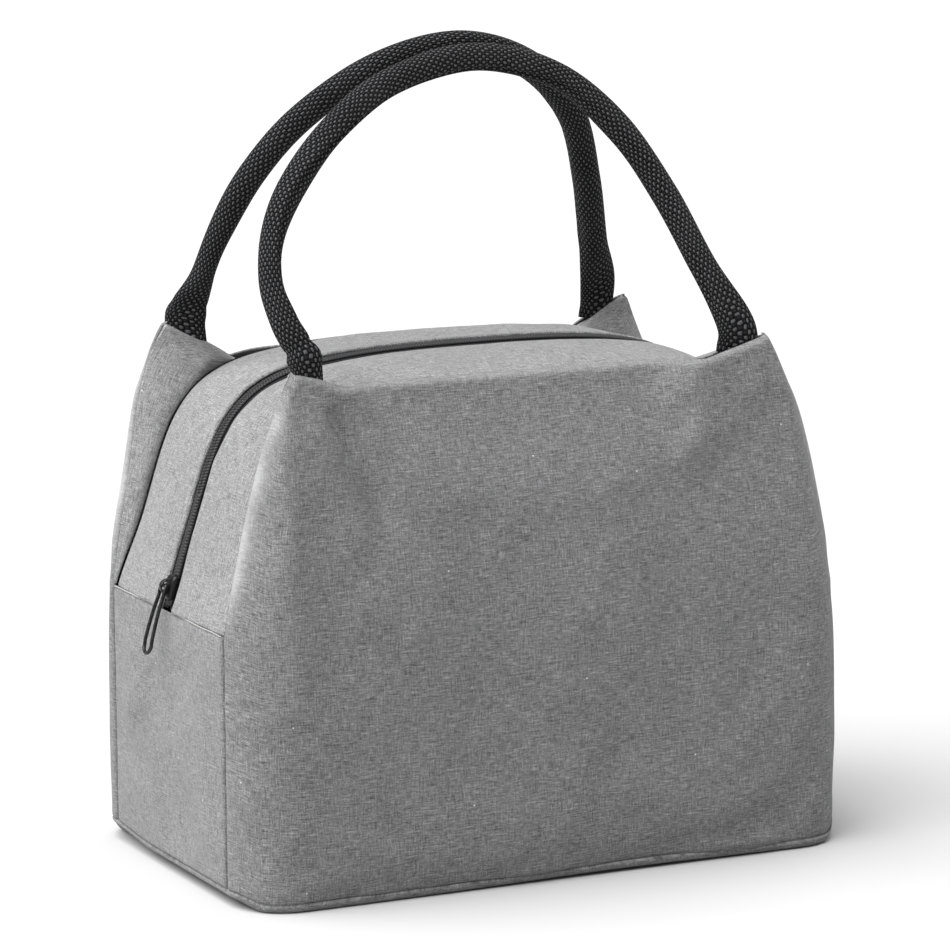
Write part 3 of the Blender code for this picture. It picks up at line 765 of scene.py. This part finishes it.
def sunk(x, z):
    """The panel's middle leans in between the ears, with a slope beside each of them."""
    top = np.clip((z - 0.152) / (PANEL_TOP_Z - 0.152), 0, 1) ** 2.3
    left = lerp(-0.058, -0.080, np.clip((z - 0.150) / 0.055, 0, 1))
    inside = sm((x - left + 0.006) / 0.013) * sm((right_edge(z) + 0.006 - x) / 0.018)
    wide = 1 - sm((np.abs(x) - 0.060) / 0.040)
    return 0.0075 * top * lerp(wide, inside, 0.85)


def panel_section(turn):
    """The whole front or rear panel as rows of points, from the base's rim to the ears' tops."""
    rows, face_cols, wrap_cols = 140, 132, 22
    level = np.linspace(WALL_FOOT_Z, EAR_TOP_Z, rows)[:, None]
    half = edge_x(level)
    radius = lerp(CORNER_R, EAR_R, rise(level))
    angle = np.radians(np.linspace(0, 90, wrap_cols))[None, :]
    wrap = half - radius * (1 - np.cos(angle))
    u = np.linspace(-1, 1, face_cols + 2)[1:-1][None, :]
    x = np.concatenate([-wrap, u * (half - radius), wrap[:, ::-1]], axis=1)
    top = panel_top(turn, x / half * edge_x(EAR_TOP_Z))
    z = level - (EAR_TOP_Z - top) * rise(level)
    over = np.clip((np.abs(x) - (half - radius)) / radius, 0, 1)
    bulge = np.sqrt(np.maximum(0.0, 1 - over**2.15))
    face = lerp(HALF_DEPTH, EAR_Y, rise(z) ** 1.6)
    y = lerp(fold_y(z) + rear_slack(turn, z), face, bulge)
    x = x - np.sign(x) * 0.0011 * hump(z, SEAM_Z, 0.015) * sm(over * 3) * sm(bulge * 2)
    return x, y, z, bulge


def fold_front(x, y, z, bulge):
    """The front's own folds: slack under the left ear, and a fold beside the right one."""
    across, along = segment_distance(x, z, (-0.096, 0.209), (-0.073, 0.150))
    run = sm(along * 5) * (1 - sm((along - 0.75) / 0.4))
    y = y - 0.0040 * hump(across, -0.001, 0.0055) * run * bulge
    y = y + 0.0014 * hump(across, 0.012, 0.008) * run * bulge
    crest = x - right_edge(z)
    fade = sm((z - 0.162) / 0.024) * bulge
    y = y + 0.0042 * hump(crest, 0.0085, np.where(crest < 0.0085, 0.0082, 0.0220)) * fade
    y = y - 0.0004 * hump(crest, 0.0190, 0.0055) * fade * sm((z - 0.180) / 0.012)
    y = y + 0.0017 * hump(x, 0.1015, 0.0050) * hump(z, 0.201, 0.010)
    # a short crease across the left corner, and a soft ridge under the sunk middle
    y = y - 0.0010 * hump(z, 0.0845, 0.0016) * sm((-0.126 - x) / 0.006)
    level = 0.1655 + 0.008 * (x / 0.08) ** 2
    return y + 0.0019 * (hump(z, level, 0.014) * (1 - sm((np.abs(x) - 0.06) / 0.03)))


def make_panel(turn):
    x, y, z, bulge = panel_section(turn)
    seed = 3 if turn < 0 else 17
    crown = np.sin(math.pi * np.clip((z - 0.004) / 0.165, 0, 1))
    puff = 0.0036 * (1 - np.clip(np.abs(x) / 0.150, 0, 1) ** 2) * crown
    y = y - sunk(-turn * x, z) * sm(bulge * 1.5) + puff * bulge
    y = y + ripples(x, z, seed, (0.090, 0.0007), (0.034, 0.00022)) * bulge
    if turn < 0:
        y = fold_front(x, y, z, bulge)
    points = np.stack([x, turn * y, z], axis=2)
    to_top = panel_top(turn, x) - z
    held = 1 - sm(bulge / 0.6) * sm((z - z[0]) / 0.008) * sm(to_top / 0.006)
    # the grid's normals look towards -Y, which is outwards at the front only
    points += relax(points, held, -PUSH * turn)
    # turned edges: bottom hem, side seams and the tops of the ears
    span = np.linalg.norm(np.diff(points, axis=1), axis=2)
    from_left = np.concatenate([np.zeros((len(points), 1)), np.cumsum(span, axis=1)], axis=1)
    from_side = np.minimum(from_left, from_left[:, -1:] - from_left)
    rim = 0.0012 * hump(from_side, 0.0045, 0.0032) * sm((z - SEAM_Z) / 0.02)
    rim = rim * sm((0.205 - z) / 0.02)
    normals = normals_of(points)
    depth = curl(from_side, 0.0020, 0.0011) - rim + curl(z - z[0], 0.0024, 0.0014)
    points += -normals * np.sign(normals[:, :, 1:2] * turn + 1e-9) * depth[:, :, None]
    ear = sm((np.abs(x) - 0.066) / 0.012)
    points[:, :, 1] -= turn * curl(to_top, 0.0026, 0.0021) * lerp(1.0, 0.9, ear)
    stretch_ear(turn, points)
    lift_rim(points)
    # painted highlight along the ears' folded edges and along the top edges
    fold_highlight = hump(from_side, 0.0040, 0.0042) * sm((z - SEAM_Z) / 0.03) * sm((0.214 - z) / 0.02)
    wear_and_highlight = fold_highlight * (0.75 + 0.25 * ripple(x, z, 0.030, seed + 5))
    wear_and_highlight = np.clip(wear_and_highlight + 0.25 * hump(to_top, 0.001, 0.0012), 0, 1)
    half = HALF[turn]
    obj = grid(f"{half}_shell", points, "front", (0, turn, 0), CLOTH_T, wear_and_highlight=wear_and_highlight)
    fold(obj, turn)
    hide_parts(f"{half}_panel_lower", f"{half}_panel_upper")


# ---- sides and base


def make_side(side):
    """A side panel: slightly slack, and rolled in at its seams."""
    reach, top = 0.0598, SEAM_Z - 0.0002
    y, z = np.linspace(-reach, reach, 84)[None, :], np.linspace(WALL_FOOT_Z, top, 76)[:, None]
    y, z = np.broadcast_arrays(y, z)
    edge = reach - np.abs(y)
    free = sm(edge / 0.022) * sm((z - 0.004) / 0.03) * sm((SEAM_Z - z) / 0.02)
    waves = ripples(y, z, 41 if side < 0 else 47, (0.070, 0.0010), (0.028, 0.0003))
    puff = (0.0012 + waves) * free
    across, along = segment_distance(y, z, (0.004, 0.100), (0.034, 0.040))
    slack = sm(along * 3) * (1 - sm((along - 0.6) / 0.6))
    puff = puff - 0.0016 * hump(across, 0.0, 0.011) * slack
    puff = puff - curl(edge, 0.0022, 0.0012) - curl(z - z[0], 0.0024, 0.0014)
    puff = puff - curl(top - z, 0.0012, 0.0005)
    points = np.stack([side * (HALF_WIDTH + puff), y, z], axis=2)
    lift_rim(points)
    obj = grid(f"side_shell_{SIDE[side]}", points, "side", (side, 0, 0), CLOTH_T)
    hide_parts(f"side_panel_{SIDE[side]}")
    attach(obj, "bag")


def plan_ring(inset, z):
    """Points of the bag's rounded plan at a height, anticlockwise from the rear right corner."""
    corner_steps, straight_steps = 12, (46, 26)
    signs = ((1, 1), (-1, 1), (-1, -1), (1, -1))
    centres = [(sx * (HALF_WIDTH - CORNER_R), sy * (HALF_DEPTH - CORNER_R)) for sx, sy in signs]
    radius = CORNER_R - inset
    points = []
    for quarter, (cx, cy) in enumerate(centres):
        for i in range(corner_steps + 1):
            angle = math.radians(90 * (quarter + i / corner_steps))
            ex, ey = radius * math.cos(angle), radius * math.sin(angle)
            points.append((cx + ex, cy + ey, z))
        nx, ny = centres[(quarter + 1) % 4]
        steps = straight_steps[quarter % 2]
        for t in (i / steps for i in range(1, steps)):
            points.append((lerp(cx, nx, t) + ex, lerp(cy, ny, t) + ey, z))
    return np.array(points)


def make_base():
    """The base panel: flat below, rounded up to a seam just above the floor."""
    flat = plan_ring(BASE_FILLET, 0.0)
    scales = (0.02, 0.15, 0.3, 0.45, 0.6, 0.72, 0.82, 0.9, 0.93, 0.955, 0.97, 0.985)
    rings = [flat * scale for scale in scales]
    for angle in np.radians(np.linspace(0, 90, 9)):
        inset, z = BASE_FILLET * (1 - math.sin(angle)), BASE_FILLET * (1 - math.cos(angle))
        rings.append(plan_ring(inset, z))
    for inset, above in ((0.0001, -0.0004), (0.0006, 0.0002), (0.0016, 0.0005)):
        rings.append(plan_ring(inset, BASE_RIM_Z + above))
    points = np.array(rings)
    lift_rim(points)
    closed = np.concatenate([points, points[:, :1]], axis=1)
    uv = closed[:, :, :2] + unit(closed[:, :, :2]) * closed[:, :, 2:3]
    obj = grid("base_shell", points, "front", ring=True, uv=uv, thickness=CLOTH_T)
    close_floor(obj, 0.01)
    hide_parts("base_panel")
    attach(obj, "bag")


def make_board():
    """The stiffener on the base, kept inside the part of the base that lies flat."""
    inset, bevel = 0.0105, 0.0004
    edge = ((inset + bevel, 0.0013), (inset, 0.0017), (inset, 0.0029), (inset + bevel, 0.0033))
    board = closed_tube("board_plate", [plan_ring(*place) for place in edge], "board")
    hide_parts("base_board")
    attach(board, "bag")


# ---- zip gusset


def make_gusset(turn):
    """One half of the zip gusset, foot to foot, with a rolled edge along the zip."""
    route = arch_route(300, -0.028)
    t = np.linspace(0, 1, 34)
    s, y = arch_grid(*route, lerp(ZIP_GAP, GUSSET_Y, t - 0.075 * np.sin(TAU * t)))
    seed = 61 if turn < 0 else 67
    wander = ripples(s, s * 0, seed, (0.026, 0.00035), (0.011, 0.00012))
    near = 1 - sm((y - ZIP_GAP) / 0.012)
    crown = sm((route[1][:, None] - 1.1) / 0.5)
    belly = np.sin(math.pi * ((y - ZIP_GAP) / (GUSSET_Y - ZIP_GAP)))
    tilt = lerp(0.0004, 0.0010 if turn > 0 else -0.0009, crown)
    lift = 0.0013 * belly + tilt * near
    lift = lift + ripples(s, y, seed + 2, (0.060, 0.0007), (0.024, 0.00022)) * belly
    lift = lift - curl(y - ZIP_GAP, 0.0014, 0.0011)
    lift = lift - curl(GUSSET_Y - y, 0.0036, 0.0017 if turn < 0 else 0.0011)
    lift = lift - curl(np.minimum(s, s[-1:, :] - s), 0.0012, 0.0006)
    half = HALF[turn]
    wide = y + wander * near
    obj = arch_piece(f"gusset_shell_{half}", "gusset", route, s, y, turn, -lift, CLOTH_T, wide=wide)
    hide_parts(f"gusset_{half}", f"gusset_end_left_{half}", f"gusset_end_right_{half}")
    fold(obj, turn)


def make_facing(turn, side):
    """The inner layer of an ear, from the gusset's seam out to the panel's folded edge."""
    rows, cols, tip, open_y = 96, 24, 0.68, 0.0611
    k = np.linspace(0, 1, rows)
    fine = np.linspace(0.5, 1.95, 600)
    seam_all = gusset_surface(1.0, fine, GUSSET_Y)
    above = panel_top(turn, side * seam_all[:, 0]) - seam_all[:, 2]
    last = fine[np.argmax(above < 0.0012)]
    seam = gusset_surface(1.0, last * (k + 0.22 * np.sin(math.pi * k)), GUSSET_Y, -0.0002)
    # out along the fold to the ear's tip, then back along the ear's top edge
    z_fold = lerp(0.1135, EAR_TOP_Z - 0.0004, np.clip(k / tip, 0, 1))
    tip_x, seam_x = edge_x(EAR_TOP_Z) - 0.0004, seam[-1, 0] + 0.0004
    x_top = lerp(tip_x, seam_x, np.clip((k - tip) / (1 - tip), 0, 1))
    on_top = k > tip
    x_out = np.where(on_top, x_top, edge_x(z_fold) - 0.0004)
    z_out = np.where(on_top, panel_top(turn, side * x_out) - 0.0003, z_fold)
    shut = np.where(on_top, sm((0.0905 - x_out) / 0.010), 0.0)
    panel_y = EAR_Y - sunk(turn * -side * x_out, z_out) - 0.0022
    side_y = fold_y(z_fold) + rear_slack(turn, z_fold) - 0.0001
    y_out = np.where(on_top, lerp(open_y, panel_y, shut), side_y)
    y_out = lerp(y_out, open_y, hump(k, tip, 0.05))
    u = np.linspace(0, 1, cols)[None, :]
    x = lerp(seam[:, :1], x_out[:, None], u)
    z = lerp(seam[:, 2:3], z_out[:, None], u)
    y = lerp(GUSSET_Y - 0.0002, y_out[:, None], u**1.5)
    width = np.hypot(x_out - seam[:, 0], z_out - seam[:, 2])[:, None]
    slack = sm(width / 0.012) * (1 - 0.7 * sm((z - 0.200) / 0.012))
    y = y - 0.0022 * np.sin(math.pi * u**0.8) * slack
    seed = 83 + 7 * side + (turn > 0)
    y = y + ripple(x, z, 0.030, seed) * 0.0004 * np.sin(math.pi * u) * slack
    # the slack fold that hangs from the handle's inner edge
    across, along = segment_distance(x, z, (0.090, 0.2110), (0.112, 0.186))
    y = y - 0.0012 * hump(across, 0.0, 0.0030) * sm(along * 4) * (1 - sm((along - 0.7) / 0.5))
    from_top = np.where(on_top[:, None], width * (1 - u), 1.0)
    y = y + curl(width * u, 0.0010, 0.0004) + curl(from_top, 0.0022, 0.0012)
    points = stretch_ear(turn, np.stack([side * x, turn * y, z], axis=2), u**0.8)
    ear = f"{HALF[turn]}_{SIDE[side]}"
    obj = grid(f"ear_lining_{ear}", points, "gusset", (0, -turn, 0), FACING_T)
    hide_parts(f"ear_facing_{ear}")
    fold(obj, turn)


# ---- zip


def make_tape(turn):
    """One zip tape, foot to foot, under the gusset's edge."""
    route = arch_route(260)
    s, y = arch_grid(*route, np.linspace(0.0010, 0.0128, 8))
    obj = arch_piece(f"tape_{HALF[turn]}", "tape", route, s, y, turn, 0.0010, ZIP_T)
    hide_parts(f"zip_tape_{HALF[turn]}", "zip_tape_left", "zip_tape_right")
    fold(obj, turn)


def make_coil(turn, part):
    """The nylon coil on one tape: the flap's stretch, or the closed stretch at a foot.

    Its rounded teeth reach across the middle, between those of the other half.
    """
    pitch, per_tooth = 0.00135, 6
    if part == "flap":
        route = arch_route(2 * int(arch_table(1.0)[1][-1] / pitch * per_tooth), 1.0)
        name, node, outward = f"coil_{HALF[turn]}", f"zip_coil_{HALF[turn]}", (0, 0, 1)
    else:
        share = np.linspace(0.03, 1.0, int(math.dist(FOOT, KNEE) / pitch * per_tooth))
        side = -1.0 if part == "left" else 1.0
        route = np.full(len(share), side), share
        name, node = f"coil_{HALF[turn]}_foot_{part}", f"zip_chain_{part}"
        outward = (side, 0, 1)
    s, k = arch_grid(*route, np.linspace(0, 1, 9))
    tooth = 0.5 + 0.5 * np.cos(TAU * (s / pitch + (0.5 if turn > 0 else 0.0)))
    y = lerp(lerp(0.00045, -0.00055, tooth), 0.0029, k)
    dome = np.sqrt(np.maximum(0.0, 1 - (2 * k - 1) ** 2 * 0.96))
    height = -0.0010 + (0.0010 + 0.0007 * tooth**0.7) * dome
    obj = arch_piece(name, "coil", route, s, y, turn, -height, ZIP_T, outward)
    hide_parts(node)
    if part == "flap":
        fold(obj, turn)
    else:
        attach(obj, "bag")


def make_slider_body(place, lengthwise):
    """A shell over the coils, wider and forked at its upper end."""
    rows = []
    for t in np.linspace(0, 1, 44):
        end = math.sqrt(max(0.0, 1 - abs(2 * t - 1) ** 3.2))
        half_w = lerp(0.0036, 0.0043, sm(t)) * lerp(0.80, 1.0, end)
        top, bottom = 0.0026 * lerp(0.55, 1.0, end), 0.0019 * lerp(0.7, 1.0, end)
        ring = []
        for angle in circle(36):
            c, s = squared(math.cos(angle), 0.55), squared(math.sin(angle), 0.55)
            ring.append(place(lerp(-0.0050, 0.0050, t), half_w * c, (top if s > 0 else bottom) * s))
        rows.append(ring)
    rows = np.array(rows)

    def cap(ring, shift):
        """A smaller ring just past an end one, which rounds that end off."""
        middle = ring.mean(axis=1, keepdims=True)
        return middle + (ring - middle) * 0.55 + lengthwise * shift

    rows = np.concatenate([cap(rows[:1], -0.0004), rows, cap(rows[-1:], 0.0004)])
    body = closed_tube("slider_body", rows, "metal")
    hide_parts("zip_slider")
    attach(body, "zip_slider")


def make_bail(place):
    """An arched strap, open below so that the pull's bar runs through it."""
    t = np.linspace(0, 1, 25)
    a, h = lerp(-0.0034, 0.0030, t), 0.0021 + 0.0034 * np.sin(math.pi * t) ** 0.55
    rows = []
    for i in range(25):
        low, high = max(0, i - 1), min(24, i + 1)
        along, up = a[high] - a[low], h[high] - h[low]
        size = math.hypot(along, up)
        ring = []
        for angle in circle(14):
            w = 0.0012 * squared(math.cos(angle), 0.6)
            d = 0.00045 * squared(math.sin(angle), 0.6)
            ring.append(place(a[i] - up / size * d, w, h[i] + along / size * d))
        rows.append(ring)
    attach(closed_tube("slider_bail", rows, "metal"), "zip_slider")


def make_pull(place, lengthwise):
    """The wire loop: its bar lies in the bail, and its far end is round and a little wider."""
    height, bar, tip, length, wire = 0.0038, 0.0019, 0.0036, 0.0285, 0.00078

    def leg(sign, shares):
        spread = [sign * (lerp(bar, tip, t) + 0.0002) for t in shares]
        return [(-length * t, b, 0.0006 * math.sin(math.pi * t)) for t, b in zip(shares, spread)]

    shares = np.linspace(0.15, 0.85, 6)
    outline = [(0.0, -bar, 0.0), (0.0, 0.0, 0.0), (0.0, bar, 0.0), (-0.0016, bar + 0.0006, 0.0004)]
    outline += leg(1, shares)
    for angle in np.radians(np.linspace(0, 180, 9)):
        outline.append((-0.0256 - 0.0036 * math.sin(angle), tip * math.cos(angle), 0.0))
    outline += [*leg(-1, shares[::-1]), (-0.0016, -bar - 0.0006, 0.0004)]
    path, _ = even_curve([place(a, b, height + c) for a, b, c in outline], 12, 150, loop=True)
    tangent = unit(np.roll(path, -1, axis=0) - np.roll(path, 1, axis=0))
    flat = unit(np.cross(lengthwise, (0.0, 1.0, 0.0)))
    rows = [
        [p + (flat * math.cos(a) + s * math.sin(a)) * wire for a in circle(12)]
        for p, s in zip(path, np.cross(tangent, flat))
    ]
    pull = grid("pull_wire", np.array([*rows, rows[0]]), "metal", ring=True)
    with editing(pull) as work:
        bmesh.ops.remove_doubles(work, verts=work.verts, dist=1e-6)
        make_agree(work)
    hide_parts("zip_pull")
    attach(pull, "zip_pull")


def make_slider():
    """The slider on the zip's left foot, with its bail and the wire loop that hangs in it."""
    foot, knee = np.array(FOOT), np.array(KNEE)
    up = (knee - foot) / np.linalg.norm(knee - foot)
    start = foot + up * SLIDER_START
    origin = np.array([-start[0], 0.0, start[1]])
    lengthwise = np.array([-up[0], 0.0, up[1]])
    out = np.array([-abs(up[1]), 0.0, abs(up[0])])

    def place(a, b, c):
        """A point from its distances up the zip, across it and out of it."""
        return origin + lengthwise * a + np.array([0.0, 1.0, 0.0]) * b + out * c

    make_slider_body(place, lengthwise)
    make_bail(place)
    make_pull(place, lengthwise)


# ---- handles

# Each handle's middle line (x, z), from its left end to its right one
FRONT_ROUTE = [
    (-0.1030, 0.2243), (-0.1085, 0.238), (-0.1110, 0.254), (-0.1060, 0.272), (-0.0925, 0.291),
    (-0.0700, 0.3115), (-0.0400, 0.3286), (0.0000, 0.3366), (0.0360, 0.3274), (0.0598, 0.305),
    (0.0745, 0.278), (0.0848, 0.250), (0.0948, 0.2243),
]
REAR_ROUTE = [
    (-0.1010, 0.2243), (-0.0995, 0.240), (-0.0948, 0.262), (-0.0844, 0.288), (-0.0662, 0.312),
    (-0.0365, 0.3325), (0.0000, 0.3405), (0.0355, 0.330), (0.0610, 0.307), (0.0757, 0.276),
    (0.0858, 0.247), (0.0940, 0.2243),
]
SEWN_Z, WEBBING_WIDTH = 0.2105, 0.0384
ROPE_R, ROPE_FROM_END = 0.0040, 0.040


def make_handle(turn, route, crown_y):
    """A webbing strip folded round its core into a tube, and flat where it enters the ears."""
    count, sides = 300, 40
    crown_z = max(z for _, z in route)
    lean = (HINGE_Y - crown_y) / (crown_z - HINGE_Z)
    points = [(x, turn * (HINGE_Y - lean * (z - HINGE_Z)), z) for x, z in route]
    low_left = (route[0][0] + 0.001, turn * HINGE_Y, SEWN_Z)
    low_right = (route[-1][0] - 0.0005, turn * HINGE_Y, SEWN_Z)
    path, length = even_curve([low_left, *points, low_right], 16, count)
    tangent = unit(np.gradient(path, axis=0))
    across = unit(np.cross((0.0, -turn * lean, 1.0), (1.0, 0.0, 0.0)))
    s = np.linspace(0, length, count)
    from_end = np.minimum(s, length - s)
    rounded = sm((from_end - 0.009) / 0.032)
    flare = np.where(s < length / 2, 0.0066 if turn < 0 else 0.0070, 0.0092)
    neck = 0.0011 * (hump(s, 0.055, 0.024) if turn < 0 else hump(s, 0.041, 0.020))
    # the two edges of the webbing meet on the arch's inner side, in a line that winds a little
    drift = -turn * (-0.25 - 1.05 * hump(s, 0.085, 0.040) - 0.8 * hump(s, 0.30, 0.05))
    wander = ripple(s, s * 0, 0.055, 101 + (turn > 0)) * 0.00025
    # the front left end is folded over on itself just above the ear
    roll = 0.0010 * hump(s, 0.0140, 0.0030) - 0.0006 * hump(s, 0.0190, 0.0013)
    roll = roll * (1.0 if turn < 0 else 0.35)
    half_w = lerp(flare, 0.0059 - neck + wander, rounded) + roll
    flat_t = 0.0019 + (0.0092 - flare) * 0.5
    half_t = lerp(flat_t, 0.0058 - wander - 0.5 * neck, rounded) + roll
    angles = circle(sides)
    rows = []
    for i in range(count):
        wide = unit(np.cross(across, tangent[i]))
        thin = np.cross(tangent[i], wide)
        power = lerp(0.70, 1.0, rounded[i])
        away = np.angle(np.exp(1j * (angles - drift[i])))
        groove = hump(away, 0.0, 0.15) * 0.0012 * rounded[i]
        lap = hump(away, -0.42, 0.25) * 0.0008 * rounded[i]
        scale = 1 - groove / 0.0062 + lap / 0.0062
        w = squared(np.cos(angles), power) * half_w[i] * scale
        t = squared(np.sin(angles), power) * half_t[i] * scale
        rows.append(path[i] + np.outer(w, wide) + np.outer(t, thin))
    rows = np.array(rows)
    stretch_ear(turn, rows, 1 - sm((rows[..., 2] - 0.2175) / 0.030))
    u = np.linspace(0, WEBBING_WIDTH, sides + 1)
    uv = np.stack(np.broadcast_arrays(u[None, :], s[:, None]), axis=2)
    half = HALF[turn]
    obj = grid(f"handle_webbing_{half}", rows, "webbing", ring=True, uv=uv)
    with editing(obj) as work:
        make_agree(work)
    thicken(obj, "webbing_thickness", WEBBING_T)
    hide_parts(f"{half}_handle", f"handle_end_{half}_left", f"handle_end_{half}_right")
    rope = round_tube(f"rope_core_{half}", path[from_end > ROPE_FROM_END], ROPE_R, "rope", 14)
    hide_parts(f"{half}_handle_core")
    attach(rope, f"{half}_handle")
    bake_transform(obj)


# ---- lining


def make_liner_tub():
    """The foil tub over its foam: floor and walls, puffed between its seams."""
    inset, floor_z = 0.0064, 0.0080
    flat = plan_ring(inset, floor_z)
    rings = [flat * (k, k, 1.0) for k in (0.02, 0.2, 0.4, 0.58, 0.72, 0.84, 0.92, 0.97)]
    rings.append(plan_ring(inset + 0.0018, floor_z + 0.0003))
    for z in np.r_[floor_z + 0.0018, np.linspace(floor_z + 0.005, SEAM_Z - 0.0006, 34)]:
        rings.append(plan_ring(inset, z))
    points = np.array(rings)
    z = points[:, :, 2].copy()
    wall = z > floor_z + 0.001
    way_round = np.arange(points.shape[1])[None, :] * 0.004 + 0 * z
    puff = ripples(way_round, z, 5, (0.040, 1.0), (0.018, 0.4))
    fade = sm((z - floor_z) / 0.01) * sm((SEAM_Z - z) / 0.008)
    shrink = 1 - (0.0011 + 0.0009 * puff) * wall * fade / 0.11
    points[:, :, :2] *= shrink[:, :, None]
    bump = ripple(points[:, :, 0], points[:, :, 1], 0.035, 8) * 0.0005
    points[:, :, 2] += np.where(wall, 0.0, np.abs(bump))
    obj = grid("liner_tub", points, "foil", ring=True, thickness=FILM_T)
    close_floor(obj, 0.02)
    foams = ("base_foam", "foam_front_lower", "foam_rear_lower", "foam_left", "foam_right")
    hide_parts("lining_lower", *foams)
    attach(obj, "bag")


def make_liner_flap(turn):
    """The upper part of the liner, behind one panel, up to the mouth."""
    rows, cols = 60, 96
    level = np.linspace(SEAM_Z - 0.0004, 0.2065, rows)
    point, normal = arch(np.linspace(0, 2, 600))
    inner = point - normal * 0.0075
    order = np.argsort(inner[:, 1])
    half = np.interp(level, inner[order, 1], inner[order, 0])
    u = np.linspace(-1, 1, cols)[None, :]
    x, z = u * np.minimum(half, 0.1325)[:, None], np.broadcast_to(level[:, None], (rows, cols))
    over = np.clip((np.abs(x) - 0.112) / 0.0205, 0, 1)
    face = lerp(HALF_DEPTH, EAR_Y, rise(z) ** 1.2) - 0.0078
    y = face - 0.0185 * (1 - np.sqrt(1 - over**2)) * (1 - rise(z))
    y = np.maximum(y - sunk(-turn * x, z), 0.054)
    pin = sm((1 - np.abs(u)) / 0.08) * sm((z - level[0]) / 0.006) * sm((level[-1] - z) / 0.006)
    puff = ripples(x, z, 121 if turn < 0 else 127, (0.036, 0.0008), (0.016, 0.0003))
    points = np.stack([x, turn * (y - (0.0008 + puff) * pin), z], axis=2)
    half_name = HALF[turn]
    obj = grid(f"liner_{half_name}", points, "foil", (0, turn, 0), FILM_T)
    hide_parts(f"lining_{half_name}_upper", f"foam_{half_name}_upper")
    fold(obj, turn)


def make_liner_gusset(turn):
    """The liner under one half of the gusset, from the tape's edge to the panel's liner."""
    route = arch_route(220, 0.02)
    s, y = arch_grid(*route, np.linspace(0.0112, 0.0575, 22))
    span = (y - y[:, :1]) / (y[:, -1:] - y[:, :1])
    puff = 0.0006 + 0.0007 * ripple(s, y, 0.034, 131 if turn < 0 else 137)
    depth = lerp(0.0026, 0.0068, sm(span / 0.25)) + puff * np.sin(math.pi * span)
    obj = arch_piece(f"liner_gusset_{HALF[turn]}", "foil", route, s, y, turn, depth, FILM_T)
    # each half stands for one of the gusset's two ends as well
    places = HALF[turn], SIDE[turn]
    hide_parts(*(f"gusset_{layer}_{at}" for at in places for layer in ("lining", "foam")))
    fold(obj, turn)


# ---- stitching


def make_overlock(side):
    """The pale overlocked edge that shows along a side panel's top seam, but for the zip."""
    stitch, thread_r, zip_half = 0.0024, 0.00026, 0.0065
    y = np.linspace(-0.0585, 0.0585, 500)
    zigzag = np.abs(((y / stitch) % 1.0) * 2 - 1)
    z = SEAM_Z - 0.0001 + 0.00030 * (zigzag - 0.5) + ripple(y, y * 0, 0.03, 151) * 0.00012
    x = HALF_WIDTH - 0.0003 + 0.00012 * np.sin(TAU * y / stitch)
    path = np.stack([side * x, y, z], axis=1)
    for part, run in (("a", y < -zip_half), ("b", y > zip_half)):
        name = f"overlock_{SIDE[side]}_{part}"
        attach(round_tube(name, path[run], thread_r, "thread", 8), "bag")


# ---- light, floor and camera


def make_stage():
    size = 30.0
    corners = [(-size, -size, 0), (size, -size, 0), (size, size, 0), (-size, size, 0)]
    mesh = bpy.data.meshes.new("floor")
    mesh.from_pydata(corners, [], [(0, 1, 2, 3)])
    mesh.materials.append(floor_material())
    floor = bpy.data.objects.new("floor", mesh)
    bpy.context.scene.collection.objects.link(floor)
    floor.location.z = -0.0002
    world = bpy.data.worlds.new("studio")
    bpy.context.scene.world = world
    world.use_nodes = True
    sky = world.node_tree.nodes["Background"].inputs
    sky[0].default_value, sky[1].default_value = (1.0, 1.0, 1.0, 1.0), SKY_STRENGTH
    for name, direction, strength, angle in SUNS:
        data = bpy.data.lights.new(name, "SUN")
        data.energy, data.angle = strength, math.radians(angle)
        sun = bpy.data.objects.new(name, data)
        bpy.context.scene.collection.objects.link(sun)
        sun.rotation_mode = "QUATERNION"
        sun.rotation_quaternion = Vector(direction).to_track_quat("-Z", "Y")


def make_camera():
    azimuth, pitch, roll = (math.radians(degrees) for degrees in CAMERA_ANGLES)
    level = math.cos(pitch)
    forward = Vector((math.sin(azimuth) * level, math.cos(azimuth) * level, -math.sin(pitch)))
    data = bpy.data.cameras.new("camera")
    data.sensor_width, data.lens, data.clip_end = SENSOR, LENS, 100.0
    camera = bpy.data.objects.new("camera", data)
    bpy.context.scene.collection.objects.link(camera)
    camera.location = Vector(CAMERA_TARGET) - forward * CAMERA_DISTANCE
    camera.rotation_mode = "QUATERNION"
    camera.rotation_quaternion = Quaternion(forward, -roll) @ forward.to_track_quat("-Z", "Y")
    bpy.context.scene.camera = camera


# ---- build


bpy.context.scene.view_settings.view_transform = "Standard"
make_camera()
make_stage()
for turn in (-1, 1):
    make_panel(turn)
    make_gusset(turn)
    make_tape(turn)
    for part in ("flap", "left", "right"):
        make_coil(turn, part)
    for side in (-1, 1):
        make_facing(turn, side)
    make_liner_flap(turn)
    make_liner_gusset(turn)
make_side(-1)
make_side(1)
make_base()
make_board()
make_liner_tub()
make_slider()
make_handle(-1, FRONT_ROUTE, 0.008)
make_handle(1, REAR_ROUTE, 0.0075)
make_overlock(-1)
make_overlock(1)
